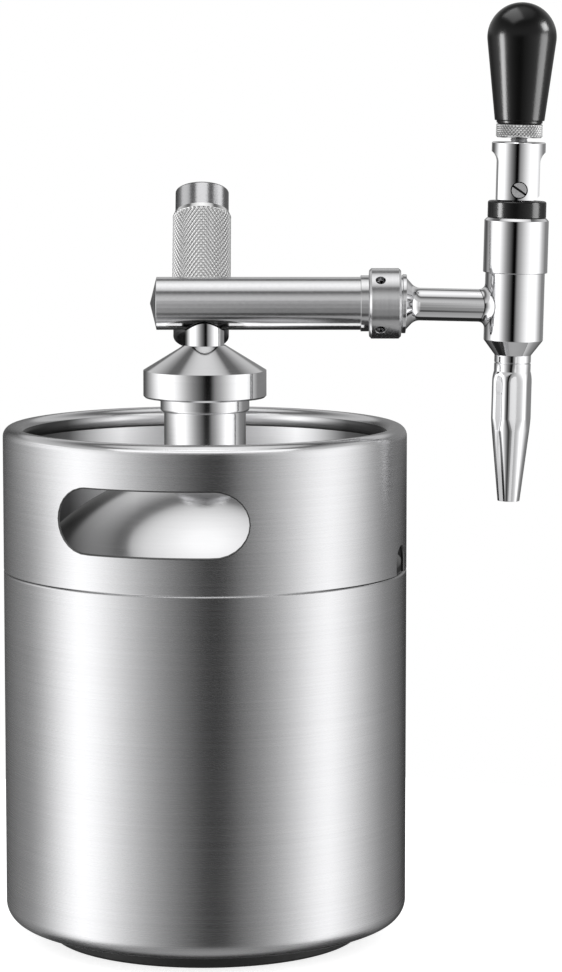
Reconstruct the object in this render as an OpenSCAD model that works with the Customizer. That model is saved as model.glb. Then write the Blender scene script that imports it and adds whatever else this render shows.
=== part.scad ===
// Nitro cold brew keg: a small steel keg with a lift-out dispensing head,
// a gas charger behind its arm and a stout tap with a cam lever.
// Millimetres. Z is up, the origin is under the middle of the foot,
// X runs along the arm to the tap, and the keg is seen from -Y.

/* [Keg] */
// Outside diameter of the keg
keg_d = 168; // [150:1:190]
// Thickness of the keg's sheet
sheet = 1.5; // [1:0.1:2]
// Height of the weld seam between tank and collar
seam_z = 155; // [135:1:180]
// Groove left open along the weld seam
seam_gap = 0.4; // [0.2:0.1:0.8]
// Radius of the bend round the tank's bottom
corner_r = 8; // [6:0.5:14]
// Height of the collar above the seam
collar_h = 60; // [56:1:75]
// Radius of the rolled rim
rim_r = 4.2; // [3:0.1:5]
// Radius of the dome's crown
dome_r = 92; // [88:1:110]
// Height of the dome's ledge above the seam
ledge_h = 5; // [4:0.5:8]
// Width of the dome's ledge
ledge_w = 9; // [6:0.5:12]
// Depth of the dome's skirt below the seam
skirt_h = 6; // [4:0.5:12]
// Turn of the keg's hand slots from the arm's broadside
keg_turn = -15; // [-45:1:45]

/* [Slots and drains] */
// Width of a hand slot, straight across
slot_w = 79; // [60:1:95]
// Height of a hand slot
slot_h = 26; // [18:1:30]
// Height of a slot's middle above the seam
slot_rise = 28.4; // [24:0.2:34]
// Width of a drain arch
drain_w = 12.6; // [8:0.2:16]
// Height of a drain arch above the seam
drain_h = 11.6; // [9:0.2:14]

/* [Foot] */
// Height of the rubber foot
foot_h = 7; // [5:0.5:10]
// Radius of the foot on the table
foot_r = 65; // [50:1:70]
// How far the foot widens from the table to the tank
foot_draft = 1.6; // [0.5:0.1:3]

/* [Neck] */
// Outside diameter of the neck
neck_d = 34; // [31:0.5:38]
// Wall of the neck
neck_wall = 3; // [2:0.25:4]
// Height of the neck's mouth above the rim
neck_rise = 19; // [15:1:25]
// Length of the thread above the bead
thread_h = 7.8; // [6:0.2:11]
// How far the bead stands out of the neck
bead_out = 1.5; // [1:0.1:2.5]
// Height of the bead
bead_h = 5.2; // [4:0.2:7]
// Length of the neck below the dome's surface
neck_sink = 4; // [3:0.5:8]

/* [Cap nut] */
// Diameter of the cap nut's band
cap_d = 51.2; // [48:0.2:58]
// Height of the cone above the band
cap_cone_h = 10.4; // [8:0.2:14]
// Wall of the cap nut round the stem, at the cone's top
cap_lip = 0.35; // [0.3:0.05:3]
// How far the cone starts below the clamped flange's top
cone_drop = 2.2; // [1:0.1:3]
// Clearance of the threads and of turning parts
turn_gap = 0.3; // [0.15:0.05:0.5]

/* [Stem] */
// Diameter of the stem
stem_d = 16; // [14:0.5:18]
// Diameter of the bore up the stem
stem_bore = 7; // [5:0.5:8]
// Thickness of the neck gasket
gasket_h = 2.5; // [1.5:0.1:4]
// Clearance between the gasket and the neck's mouth, before the cap nut is tightened
gasket_gap = 0.02; // [0.01:0.01:0.05]
// Thickness of the clamped flange
flange_h = 3.5; // [2.5:0.1:5]
// Diameter of the spigot below the flange
spigot_d = 20; // [17:0.5:22]
// Length of the spigot below the flange
spigot_h = 16; // [13:0.5:22]
// Diameter of the dip tube
dip_d = 9.5; // [8.5:0.25:11]
// Wall of the dip tube
dip_wall = 1.25; // [0.8:0.05:1.5]
// Depth of the dip tube's upper end below the flange
dip_drop = 5; // [3:0.5:6]
// Height of the dip tube's lower end above the tank floor
dip_clear = 6; // [3:0.5:15]

/* [Arm] */
// Height of the arm's axis above the neck's mouth
arm_rise = 31.5; // [29:0.5:45]
// Diameter of the arm
arm_d = 21.9; // [20:0.1:25]
// Diameter of the bore along the arm
arm_bore = 12; // [8:0.5:13]
// How far the arm's bore runs past the stem's
bore_past = 4; // [1:0.5:8]
// Length of the arm from the stem to its pointed end
arm_left = 20; // [17:0.5:40]
// Length of the point
arm_point = 2.7; // [1:0.1:6]
// Length of the arm from the stem to the shoulder ring
arm_right = 64.6; // [45:0.2:90]
// Width of the shoulder ring
ring_w = 3.4; // [2:0.1:6]
// How far the shoulder ring stands out of the arm
ring_out = 0.65; // [0.3:0.05:2]

/* [Coupling] */
// Diameter of the coupling nut
nut_d = 29.2; // [28.6:0.2:34]
// Width of the coupling nut
nut_w = 13.1; // [11.6:0.1:18]
// Width of the nut's lip on the arm
nut_lip = 4; // [3:0.1:6]
// Diameter of the arm's end under the nut
arm_end_d = 17.2; // [15:0.1:18]
// Diameter of the snap ring
snap_d = 21.6; // [20:0.1:22.4]
// Thickness of the snap ring
snap_h = 1.5; // [1:0.1:2]
// Opening of the snap ring
snap_open = 3; // [2:0.5:6]
// Length of the arm's end beyond the snap ring
arm_tip = 0.4; // [0.3:0.1:1]
// Diameter of the tap's threaded tail
tail_d = 23.4; // [22.8:0.1:24.6]
// Thickness of the washer between arm and tap
washer_h = 1; // [0.6:0.1:2]
// Diameter of a spanner hole
spanner_d = 4; // [2:0.2:4.6]
// Number of spanner holes
spanner_n = 4; // [2:1:6]

/* [Gas side] */
// Lean of the charger from upright
charger_lean = 26; // [10:1:40]
// Distance between the arm's and the charger's axes
charger_reach = 25.4; // [24.6:0.1:36]
// Shift of the charger along the arm
charger_shift = -2; // [-8:0.5:8]
// Height of the gas body's floor below the port
port_rise = 6.4; // [6:0.1:6.6]
// Diameter of the gas body
gas_d = 23.4; // [22.8:0.1:26]
// Height of the gas body's skirt
gas_h = 11.2; // [11:0.1:14]
// Length of the gas body's thread
gas_thread = 8; // [5:0.5:12]
// Thickness of the gas body's floor
gas_floor = 2.4; // [2:0.1:4]
// Diameter of the spigot into the arm
port_d = 8.6; // [7.2:0.2:9.2]
// Bore along the spigot
port_bore = 2; // [1.4:0.1:3]
// Bore from the spigot into the arm
arm_port = 3; // [2:0.2:4]
// Radius of the check valve in the spigot's end
check_r = 2.2; // [1.8:0.1:2.6]
// Length of the check valve
check_h = 3.6; // [3:0.1:4.4]
// Wall of the gas body round the charger
gas_wall = 1.1; // [0.8:0.05:1.2]
// Thickness of the piercing seal
pierce_seal_h = 1.2; // [0.8:0.1:2]
// Radius of the piercing pin
pin_r = 1; // [0.7:0.1:1.2]
// How far the pin reaches into the charger
pin_rise = 4; // [3:0.1:5]
// Length of the pin's point
pin_point = 1.5; // [1:0.1:2]

/* [Charger] */
// Diameter of the gas charger
charger_d = 18; // [17:0.1:18.4]
// Length of the gas charger
charger_len = 63; // [55:0.5:70]
// Diameter of the charger's neck
charger_neck_d = 9; // [8:0.1:11]
// Length of the charger's neck
charger_neck_h = 7; // [5:0.5:10]
// Diameter of the sleeve over its knurling
sleeve_d = 24.8; // [24.4:0.1:28]
// Step in from the knurling to the plain band
band_step = 1.05; // [0.3:0.05:1.2]
// Length of the plain band
band_h = 10; // [6:0.2:20]
// Thickness of the sleeve's closed end
sleeve_end = 1.4; // [1:0.1:3]
// Rounding of the sleeve's closed end
sleeve_round = 0.8; // [0.5:0.1:3]

/* [Tap] */
// Distance from the union to the tap's axis
tap_reach = 52.9; // [42:0.1:70]
// Lean of the tap away from the keg
tap_lean = 1.25; // [0:0.05:2]
// Diameter of the shank
shank_d = 13.5; // [11:0.1:15]
// Diameter of the bore along the shank
shank_bore = 7; // [4:0.2:8]
// Thickness of the flange beside the coupling nut
tail_flange_h = 1.7; // [1:0.1:4]
// Diameter of the flange beside the coupling nut
tail_flange_d = 24.4; // [23.6:0.1:29]
// Diameter of the flare beside the flange
flare_d = 21.6; // [19:0.1:23.4]
// Slope of the flare's side, in degrees
flare_slope = 48; // [40:1:60]
// Radius of the bend from the flare's side to the shank
flare_r = 5; // [2:0.1:6]
// Diameter of the barrel
barrel_d = 24.6; // [23:0.1:28]
// Half the height of the barrel
barrel_half = 14; // [11:0.2:18]
// Height of the cone below the barrel
barrel_cone_h = 6.2; // [4:0.1:10]
// Height of the valve seat below the shank's axis
seat_drop = 6; // [5:0.1:8]
// Diameter of the valve seat's hole
seat_d = 9; // [7:0.1:10]
// Diameter of the bonnet
bonnet_d = 26.6; // [25:0.1:30]
// Height of the bonnet
bonnet_h = 22.6; // [20:0.1:28]
// Diameter of the bonnet's thread in the barrel
bonnet_thread_d = 19; // [18:0.1:20]
// Wall of the bonnet's thread
bonnet_wall = 2; // [1.6:0.1:2.2]
// Length of the bonnet's thread in the barrel
bonnet_thread_h = 8; // [5:0.1:8.5]
// Thickness of the bonnet's roof
bonnet_roof = 7.6; // [6:0.1:10]
// Height of the friction ring
friction_h = 7; // [5:0.1:10]
// Diameter of the friction ring
friction_d = 24.2; // [22:0.1:26]

/* [Valve] */
// Diameter of the valve rod
rod_d = 6; // [5:0.1:6.5]
// Running clearance of rod and pivot, at the radius
run_gap = 0.05; // [0.02:0.01:0.1]
// Diameter of the rod's collar under the spring
collar_d = 12.4; // [11.6:0.1:13]
// Thickness of the rod's collar
collar_th = 2; // [1:0.1:3]
// Diameter of the valve plug
plug_d = 12; // [11.2:0.1:14]
// Height of the spring's seat above the barrel
spring_lift = 1; // [0:0.1:2]
// Thickness of the valve plug
plug_h = 4; // [3:0.1:5]
// Diameter of the spring's wire
wire_d = 1.2; // [0.8:0.1:1.4]
// Turns of the spring
spring_turns = 5; // [3:1:6]
// Radius of the O-rings' section
oring_r = 1; // [0.8:0.05:1.2]

/* [Lever] */
// Diameter of the lever
lever_d = 22.2; // [20:0.2:24]
// Width across the lever's milled sides
lever_w = 17.1; // [16.8:0.1:19]
// Height of the lever
lever_h = 24; // [22:0.2:30]
// Height of the ears left above the milled sides
ear_h = 3.2; // [2:0.1:6]
// Radius of the curve under the ears
ear_r = 5.2; // [4:0.1:7]
// Height of the pivot above the friction ring
pivot_rise = 4.7; // [4.5:0.1:6]
// Lift of the valve for each turn of the lever, in radians
cam_lift = 4; // [2:0.1:4.2]
// Full pull of the lever, in degrees
lever_pull = 45; // [20:1:45]
// Gap under the lever's cam
cam_gap = 0.15; // [0.05:0.05:0.3]
// Radius of the rod's eye
eye_r = 4; // [3.6:0.1:4.2]
// Thickness of the rod's eye
eye_w = 5; // [4:0.1:5.4]
// Side clearance of the rod in the fork
fork_gap = 0.25; // [0.1:0.05:0.4]
// Diameter of the pivot screw
pivot_d = 4; // [3:0.1:4.4]
// Diameter of the pivot screw's head
pivot_head_d = 6.2; // [5.4:0.1:6.8]
// Height of the pivot screw's head
pivot_head_h = 2; // [1.2:0.1:2.4]
// How deep the pivot screw's head lies in the lever
pivot_sink = 0.35; // [0.1:0.05:0.8]

/* [Handle] */
// Diameter of the stud between lever and knob
stud_d = 7; // [6:0.1:9]
// Depth of the stud in the lever
stud_grip = 9; // [6:0.5:10]
// Gap between lever and jam nut
stud_gap = 1.8; // [0.5:0.1:5]
// Diameter of the jam nut
jam_d = 19.2; // [16:0.1:22]
// Height of the jam nut
jam_h = 6; // [4:0.1:9]
// Diameter of the knob's round end
knob_d = 28.5; // [24:0.1:34]
// Diameter of the knob's base
knob_base_d = 20.6; // [18:0.1:23]
// Height of the knob
knob_h = 49.4; // [42:0.2:60]
// Diameter of the knob's brass insert
insert_d = 11; // [10.5:0.1:14]
// Depth of the knob's brass insert
insert_h = 22; // [14:0.5:26]
// Closed end of the knob's brass insert
insert_cap = 2; // [1:0.5:4]

/* [Nozzle] */
// Length of the nozzle
nozzle_len = 61; // [50:0.5:75]
// Diameter of the nozzle where it meets the barrel
nozzle_top_d = 15.2; // [14.6:0.1:15.8]
// Largest diameter of the nozzle
nozzle_d = 16.7; // [16:0.1:20]
// Diameter of the nozzle's tip
tip_d = 9.4; // [8:0.1:11]
// Bore of the nozzle's tip
tip_bore = 5; // [3:0.1:6]
// Drop from the nozzle's top to where it swells
swell_drop = 6.8; // [5:0.1:9]
// Length over which it swells to its full width
swell_h = 4.5; // [3:0.1:7]
// Drop from the nozzle's top to where its taper starts
waist_drop = 26.5; // [20:0.5:32]
// Number of flats round the nozzle
flat_n = 6; // [5:1:8]
// Turn of the flats about the nozzle, in degrees
flat_turn = -21; // [-30:1:30]
// Depth of the flats in the wide part
flat_cut = 0.6; // [0.4:0.05:0.8]
// Depth of the flats at the tip
tip_cut = 0.3; // [0.2:0.05:0.6]
// Drop from the taper's start to where the flats turn in to the tip
flat_drop = 4.8; // [3:0.1:7]
// Diameter of the barrel's thread in the nozzle
nozzle_thread_d = 11; // [10:0.1:12]
// Wall of the barrel's thread in the nozzle
nozzle_thread_wall = 1.8; // [1.6:0.1:2.2]
// Length of the barrel's thread in the nozzle
nozzle_thread_h = 9; // [6:0.5:14]
// Thickness of the restrictor disc
disc_h = 1.6; // [1:0.1:3]
// Width of the ledge under the restrictor disc
disc_ledge = 1.5; // [1:0.1:2]
// Number of holes in the restrictor disc
disc_holes = 5; // [3:1:6]
// Diameter of a hole in the restrictor disc
disc_hole_d = 1.2; // [0.6:0.1:1.6]

/* [Hidden] */
$fn = 72;
// Allowance by which cutting shapes run past a face
over = 1;

steel = "silver";
polished = "lightsteelblue";
black = "#202020";

// Keg
keg_r = keg_d / 2;
wall_r = keg_r - sheet;
rim_z = seam_z + collar_h;
ledge_z = seam_z + ledge_h;
dome_foot_r = wall_r - ledge_w;
dome_z = ledge_z - sqrt(dome_r * dome_r - dome_foot_r * dome_foot_r);
ledge_bend = 2 * sheet;

// Neck, gasket, flange and cap nut, one above the other
neck_r = neck_d / 2;
mouth_r = neck_r - neck_wall;
mouth_z = rim_z + neck_rise;
bead_top = mouth_z - thread_h;
neck_foot_z = dome_z + sqrt(dome_r * dome_r - neck_r * neck_r) - neck_sink;
flange_z = mouth_z + gasket_h;
flange_top = flange_z + flange_h;
cap_z = bead_top + turn_gap;
cap_band_z = flange_top - cone_drop;
cap_bore_r = neck_r + turn_gap;
stem_r = stem_d / 2;
cap_hole_r = stem_r + turn_gap;
cap_top_r = cap_hole_r + cap_lip;

// Dip tube and its seal in the spigot
dip_r = dip_d / 2;
spigot_z = flange_z - spigot_h;
dip_seat = flange_z - dip_drop;
dip_end = foot_h + sheet + dip_clear;
seal_lip = 3;

// Arm and coupling, from left to right
arm_z = mouth_z + arm_rise;
arm_r = arm_d / 2;
nut_x = arm_right + ring_w + turn_gap / 2;
snap_x = nut_x + nut_lip + turn_gap;
arm_end_x = snap_x + snap_h + arm_tip;
union_x = arm_end_x + washer_h;
nut_end = nut_x + nut_w;
nut_bore_r = tail_d / 2 + turn_gap;
// The tap hangs from the union, so its faces there stand off by what its lean swings
swing = tap_lean * PI / 180;
tail_gap = swing * arm_end_d / 2;
flange_gap = turn_gap / 2 + swing * nut_d / 2;

// Gas side
gas_r = gas_d / 2;
gas_bore_r = charger_d / 2 + turn_gap;
gas_thread_r = gas_bore_r + gas_wall;
tip_z = gas_floor + pierce_seal_h;
charger_top = tip_z + charger_len;
sleeve_r = sleeve_d / 2;
sleeve_z = gas_h + turn_gap;
sleeve_top = charger_top + sleeve_end;
sleeve_bore_r = gas_bore_r;
sleeve_thread_r = gas_thread_r + turn_gap;
// Distance from the arm's axis at which the spigot ends, inside the arm's wall
port_end = (arm_bore / 2 + arm_r) / 2;
port_len = charger_reach - port_end;
check_seat = port_len - check_h - turn_gap;

// Tap, measured from where the shank's axis crosses the tap's own
barrel_r = barrel_d / 2;
barrel_top = barrel_half;
chamber_r = bonnet_thread_d / 2 - bonnet_wall;
cone_z = -barrel_half - barrel_cone_h;
bonnet_top = barrel_top + bonnet_h;
roof_z = bonnet_top - bonnet_roof;
friction_top = bonnet_top + friction_h;
pivot_z = friction_top + pivot_rise;
lever_z = friction_top + cam_gap;
lever_top = lever_z + lever_h;
rod_r = rod_d / 2;
spring_seat = barrel_top + spring_lift;
plug_z = -seat_drop;
lever_r = lever_d / 2;
fork_w = rod_d + 2 * fork_gap;
pivot_r = pivot_d / 2;
head_y = -lever_r + pivot_sink;
stud_foot = lever_top - stud_grip;
jam_z = lever_top + stud_gap;
knob_z = jam_z + jam_h;
knob_r = knob_d / 2;
knob_ball_z = knob_z + knob_h - knob_r;
knob_edge = 0.8;
stud_top = knob_z + insert_h - insert_cap;

// Nozzle
nozzle_end = cone_z - nozzle_len;
waist_z = cone_z - waist_drop;
thread_end = cone_z - nozzle_thread_h;
disc_z = thread_end - disc_h;
// The swell's curve starts on the nozzle's top part and runs along its straight side at its end
swell_end = cone_z - swell_drop - swell_h;
swell_out = (nozzle_d - nozzle_top_d) / 2;
swell_r = (swell_h * swell_h + swell_out * swell_out) / (2 * swell_out);

// Frames
module along_x() {
  rotate([0, 90, 0]) children();
}

module at_arm() {
  translate([0, 0, arm_z]) children();
}

module at_tap() {
  translate([union_x, 0, arm_z]) rotate([0, tap_lean, 0]) translate([tap_reach, 0, 0]) children();
}

// Charger's frame: Z along the charger, the port at height port_rise facing the arm along -Y
module at_charger() {
  at_arm() rotate([-charger_lean, 0, 0]) translate([charger_shift, charger_reach, -port_rise]) children();
}

// Flat ring section between two radii and two heights
module band(r1, r2, z1, z2) {
  translate([r1, z1]) square([r2 - r1, z2 - z1]);
}

// Quarter of a bent sheet about a corner, sx and sz choosing the quarter
module quarter_bend(r, z, bend, thick, sx, sz) {
  translate([r, z]) intersection() {
    difference() {
      circle(r = bend);
      circle(r = bend - thick);
    }
    translate([sx < 0 ? -bend : 0, sz < 0 ? -bend : 0]) square(bend);
  }
}

// What a rounding of radius r takes off the corner of a section at (x, z)
module corner_waste(x, z, r, sx, sz) {
  translate([x, z]) difference() {
    translate([sx > 0 ? -r : -over, sz > 0 ? -r : -over]) square(r + over);
    translate([-sx * r, -sz * r]) circle(r = r);
  }
}

// Turned ring with chamfered outer edges
module chamfer_ring(r1, r2, z1, z2, c) {
  rotate_extrude() polygon([[r1, z1], [r2 - c, z1], [r2, z1 + c], [r2, z2 - c], [r2 - c, z2], [r1, z2]]);
}

module oring(r, z) {
  translate([0, 0, z]) rotate_extrude() translate([r, 0]) circle(r = oring_r, $fn = 32);
}

// Keg
module tank_cup() {
  color(steel) rotate_extrude() {
    band(0, keg_r - corner_r, foot_h, foot_h + sheet);
    quarter_bend(keg_r - corner_r, foot_h + corner_r, corner_r, sheet, 1, -1);
    band(wall_r, keg_r, foot_h + corner_r, seam_z);
  }
}

module tank_dome() {
  color(steel) rotate_extrude() {
    difference() {
      translate([0, dome_z]) difference() {
        circle(r = dome_r, $fn = 200);
        circle(r = dome_r - sheet, $fn = 200);
      }
      translate([-2 * dome_r, dome_z - 2 * dome_r])
        square([4 * dome_r, 2 * dome_r + ledge_z - sheet - dome_z]);
      translate([-2 * dome_r, dome_z]) square([2 * dome_r + neck_r, 2 * dome_r]);
    }
    band(dome_foot_r, wall_r - ledge_bend, ledge_z - sheet, ledge_z);
    quarter_bend(wall_r - ledge_bend, ledge_z - ledge_bend, ledge_bend, sheet, 1, 1);
    band(wall_r - sheet, wall_r, seam_z - skirt_h, ledge_z - ledge_bend);
  }
}

module neck_spout() {
  bead_r = neck_r + bead_out;
  bead_z = bead_top - bead_h;
  color(polished) rotate_extrude() {
    band(mouth_r, neck_r, neck_foot_z, mouth_z);
    difference() {
      band(mouth_r, bead_r, bead_z, bead_top);
      corner_waste(bead_r, bead_z, bead_out, 1, -1);
      corner_waste(bead_r, bead_top, bead_out / 3, 1, 1);
    }
  }
}

// Outline of a hand slot in its own plane, with round ends
module slot_outline() {
  square([slot_w - slot_h, slot_h], center = true);
  for (side = [-1, 1]) translate([side * (slot_w - slot_h) / 2, 0]) circle(d = slot_h);
}

// Outline of a drain arch, standing on the seam
module drain_outline() {
  translate([-drain_w / 2, -over]) square([drain_w, drain_h - drain_w / 2 + over]);
  translate([0, drain_h - drain_w / 2]) circle(d = drain_w);
}

module handle_collar() {
  collar_z = seam_z + seam_gap;
  color(steel) difference() {
    rotate_extrude() {
      band(wall_r, keg_r, collar_z, rim_z - rim_r);
      difference() {
        translate([keg_r - rim_r, rim_z - rim_r]) difference() {
          circle(r = rim_r);
          circle(r = rim_r - sheet);
        }
        translate([keg_r - rim_r, rim_z - 3 * rim_r]) square(2 * rim_r);
      }
    }
    for (side = [0, 180]) rotate([0, 0, keg_turn + side]) {
      translate([0, -wall_r / 2, seam_z + slot_rise]) rotate([90, 0, 0])
        linear_extrude(keg_r) slot_outline();
      rotate([0, 0, 90]) translate([0, -wall_r / 2, seam_z]) rotate([90, 0, 0])
        linear_extrude(keg_r) drain_outline();
    }
  }
}

module base_foot() {
  edge = foot_h / 4;
  color(black) rotate_extrude() difference() {
    polygon([[0, 0], [foot_r, 0], [foot_r + foot_draft, foot_h], [0, foot_h]]);
    corner_waste(foot_r, 0, edge, 1, -1);
  }
}

// Dispensing head
module stem() {
  groove_z = spigot_z + seal_lip;
  color(polished) difference() {
    union() {
      translate([0, 0, spigot_z]) cylinder(d = spigot_d, h = spigot_h);
      translate([0, 0, flange_z]) cylinder(r = neck_r - turn_gap, h = flange_h);
      translate([0, 0, flange_z]) cylinder(d = stem_d, h = arm_z - flange_z);
    }
    translate([0, 0, spigot_z - over]) cylinder(d = stem_bore, h = arm_z);
    translate([0, 0, spigot_z - over]) cylinder(r = dip_r, h = dip_seat - spigot_z + over);
    translate([0, 0, groove_z]) cylinder(r = dip_r + 2 * oring_r, h = 2 * oring_r);
    at_arm() along_x() cylinder(r = arm_r, h = 4 * arm_r, center = true);
  }
}

module neck_gasket() {
  color("white") rotate_extrude() band(mouth_r, neck_r - turn_gap, mouth_z + gasket_gap, flange_z);
}

module dip_tube() {
  color(steel) rotate_extrude() band(dip_r - dip_wall, dip_r, dip_end, dip_seat);
}

module dip_tube_seal() {
  color(black) oring(dip_r + oring_r, spigot_z + seal_lip + oring_r);
}

module cap_nut() {
  cap_r = cap_d / 2;
  edge = 0.8;
  color(polished) rotate_extrude() difference() {
    polygon([
      [0, cap_z], [cap_r - edge, cap_z], [cap_r, cap_z + edge], [cap_r, cap_band_z],
      [cap_top_r, cap_band_z + cap_cone_h], [0, cap_band_z + cap_cone_h]
    ]);
    band(-over, cap_bore_r, cap_z - over, flange_top);
    band(-over, cap_hole_r, flange_top - over, cap_band_z + cap_cone_h + over);
  }
}

// Arm and coupling
module arm() {
  bore_x = -stem_bore / 2 - bore_past;
  color(polished) difference() {
    at_arm() along_x() rotate_extrude() polygon([
      [0, -arm_left - arm_point], [arm_r, -arm_left], [arm_r, arm_right],
      [arm_r + ring_out, arm_right], [arm_r + ring_out, arm_right + ring_w],
      [arm_end_d / 2, arm_right + ring_w], [arm_end_d / 2, arm_end_x], [0, arm_end_x]
    ]);
    at_arm() along_x() translate([0, 0, bore_x]) cylinder(d = arm_bore, h = arm_end_x - bore_x + over);
    translate([0, 0, arm_z - arm_r - over]) cylinder(d = stem_bore, h = arm_r + over);
    at_charger() translate([0, 0, port_rise]) rotate([90, 0, 0]) {
      cylinder(d = port_d, h = port_len);
      cylinder(d = arm_port, h = charger_reach);
    }
  }
}

module snap_ring() {
  color(steel) at_arm() along_x() translate([0, 0, snap_x]) difference() {
    cylinder(d = snap_d, h = snap_h);
    translate([0, 0, -over]) cylinder(d = arm_end_d, h = snap_h + 2 * over);
    translate([0, -snap_open / 2, -over]) cube([snap_d, snap_open, snap_h + 2 * over]);
  }
}

module coupling_nut() {
  edge = 0.9;
  hole_x = nut_x + nut_lip + spanner_d / 8;
  color(polished) at_arm() along_x() difference() {
    chamfer_ring(arm_end_d / 2 + turn_gap, nut_d / 2, nut_x, nut_end, edge);
    translate([0, 0, nut_x + nut_lip]) cylinder(r = nut_bore_r, h = nut_w);
    for (i = [0:spanner_n - 1]) rotate([0, 0, (i + 0.5) * 360 / spanner_n]) translate([0, 0, hole_x])
      rotate([0, 90, 0]) cylinder(d = spanner_d, h = nut_d);
  }
}

module shank_washer() {
  color("white") at_arm() along_x() rotate_extrude() band(arm_bore / 2, arm_end_d / 2, arm_end_x, union_x);
}

// Gas side
module gas_body() {
  edge = 2;
  color(black) at_charger() difference() {
    union() {
      rotate_extrude() difference() {
        union() {
          band(0, gas_r, 0, gas_h);
          band(0, gas_thread_r, 0, gas_h + gas_thread);
        }
        corner_waste(gas_r, 0, edge, 1, -1);
      }
      translate([0, 0, port_rise]) rotate([90, 0, 0]) cylinder(d = port_d, h = port_len);
    }
    translate([0, 0, gas_floor]) cylinder(d = charger_neck_d + 2 * turn_gap, h = gas_h + gas_thread);
    translate([0, 0, tip_z + charger_neck_h - 2 * turn_gap]) cylinder(r = gas_bore_r, h = gas_h + gas_thread);
    translate([0, 0, gas_floor / 2]) cylinder(r = 2 * pin_r, h = gas_floor);
    translate([0, 0, port_rise]) rotate([90, 0, 0]) {
      translate([0, 0, charger_neck_d / 2]) cylinder(d = port_bore, h = charger_reach);
      translate([0, 0, check_seat]) cylinder(r = check_r, h = charger_reach);
    }
  }
}

module piercing_pin() {
  color(steel) at_charger() {
    translate([0, 0, gas_floor / 2]) cylinder(r = 2 * pin_r, h = gas_floor / 2);
    translate([0, 0, gas_floor]) cylinder(r = pin_r, h = pierce_seal_h + pin_rise - pin_point);
    translate([0, 0, tip_z + pin_rise - pin_point]) cylinder(r1 = pin_r, r2 = pin_r / 5, h = pin_point);
  }
}

module piercing_seal() {
  color("white") at_charger() rotate_extrude()
    band(pin_r + turn_gap, charger_neck_d / 2, gas_floor, tip_z);
}

// Duckbill in the end of the spigot
module check_valve() {
  bill = check_r / 4;
  rim = check_h / 4;
  color(black) at_charger() translate([0, 0, port_rise]) rotate([90, 0, 0])
    translate([0, 0, check_seat]) rotate_extrude() polygon([
      [bill, 0], [check_r, 0], [check_r, rim], [3 * bill, rim], [1.5 * bill, check_h], [bill, check_h]
    ]);
}

module charger_sleeve() {
  band_r = sleeve_r - band_step;
  band_z = sleeve_top - band_h;
  edge = 0.5;
  color(polished) at_charger() rotate_extrude() difference() {
    union() {
      polygon([
        [0, sleeve_z], [sleeve_r - edge, sleeve_z], [sleeve_r, sleeve_z + edge],
        [sleeve_r, band_z - edge], [sleeve_r - edge, band_z], [0, band_z]
      ]);
      difference() {
        band(0, band_r, band_z - over, sleeve_top);
        corner_waste(band_r, sleeve_top, sleeve_round, 1, 1);
      }
    }
    band(-over, sleeve_bore_r, sleeve_z - over, charger_top);
    band(-over, sleeve_thread_r, sleeve_z - over, gas_h + gas_thread + turn_gap);
  }
}

// Charger with a pierced seal in its neck and a rounded bottom, which lies at the sleeve's end
module gas_charger() {
  shell_r = charger_d / 2;
  shoulder = shell_r - charger_neck_d / 2;
  crown = 4;
  color("gold") at_charger() rotate_extrude() difference() {
    union() {
      band(0, charger_neck_d / 2, tip_z, tip_z + charger_neck_h + shoulder);
      difference() {
        band(0, shell_r, tip_z + charger_neck_h, charger_top);
        corner_waste(shell_r, charger_top, crown, 1, 1);
        corner_waste(shell_r, tip_z + charger_neck_h, shoulder, 1, -1);
      }
    }
    band(-over, pin_r + turn_gap, tip_z - over, tip_z + pin_rise + turn_gap);
  }
}

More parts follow.
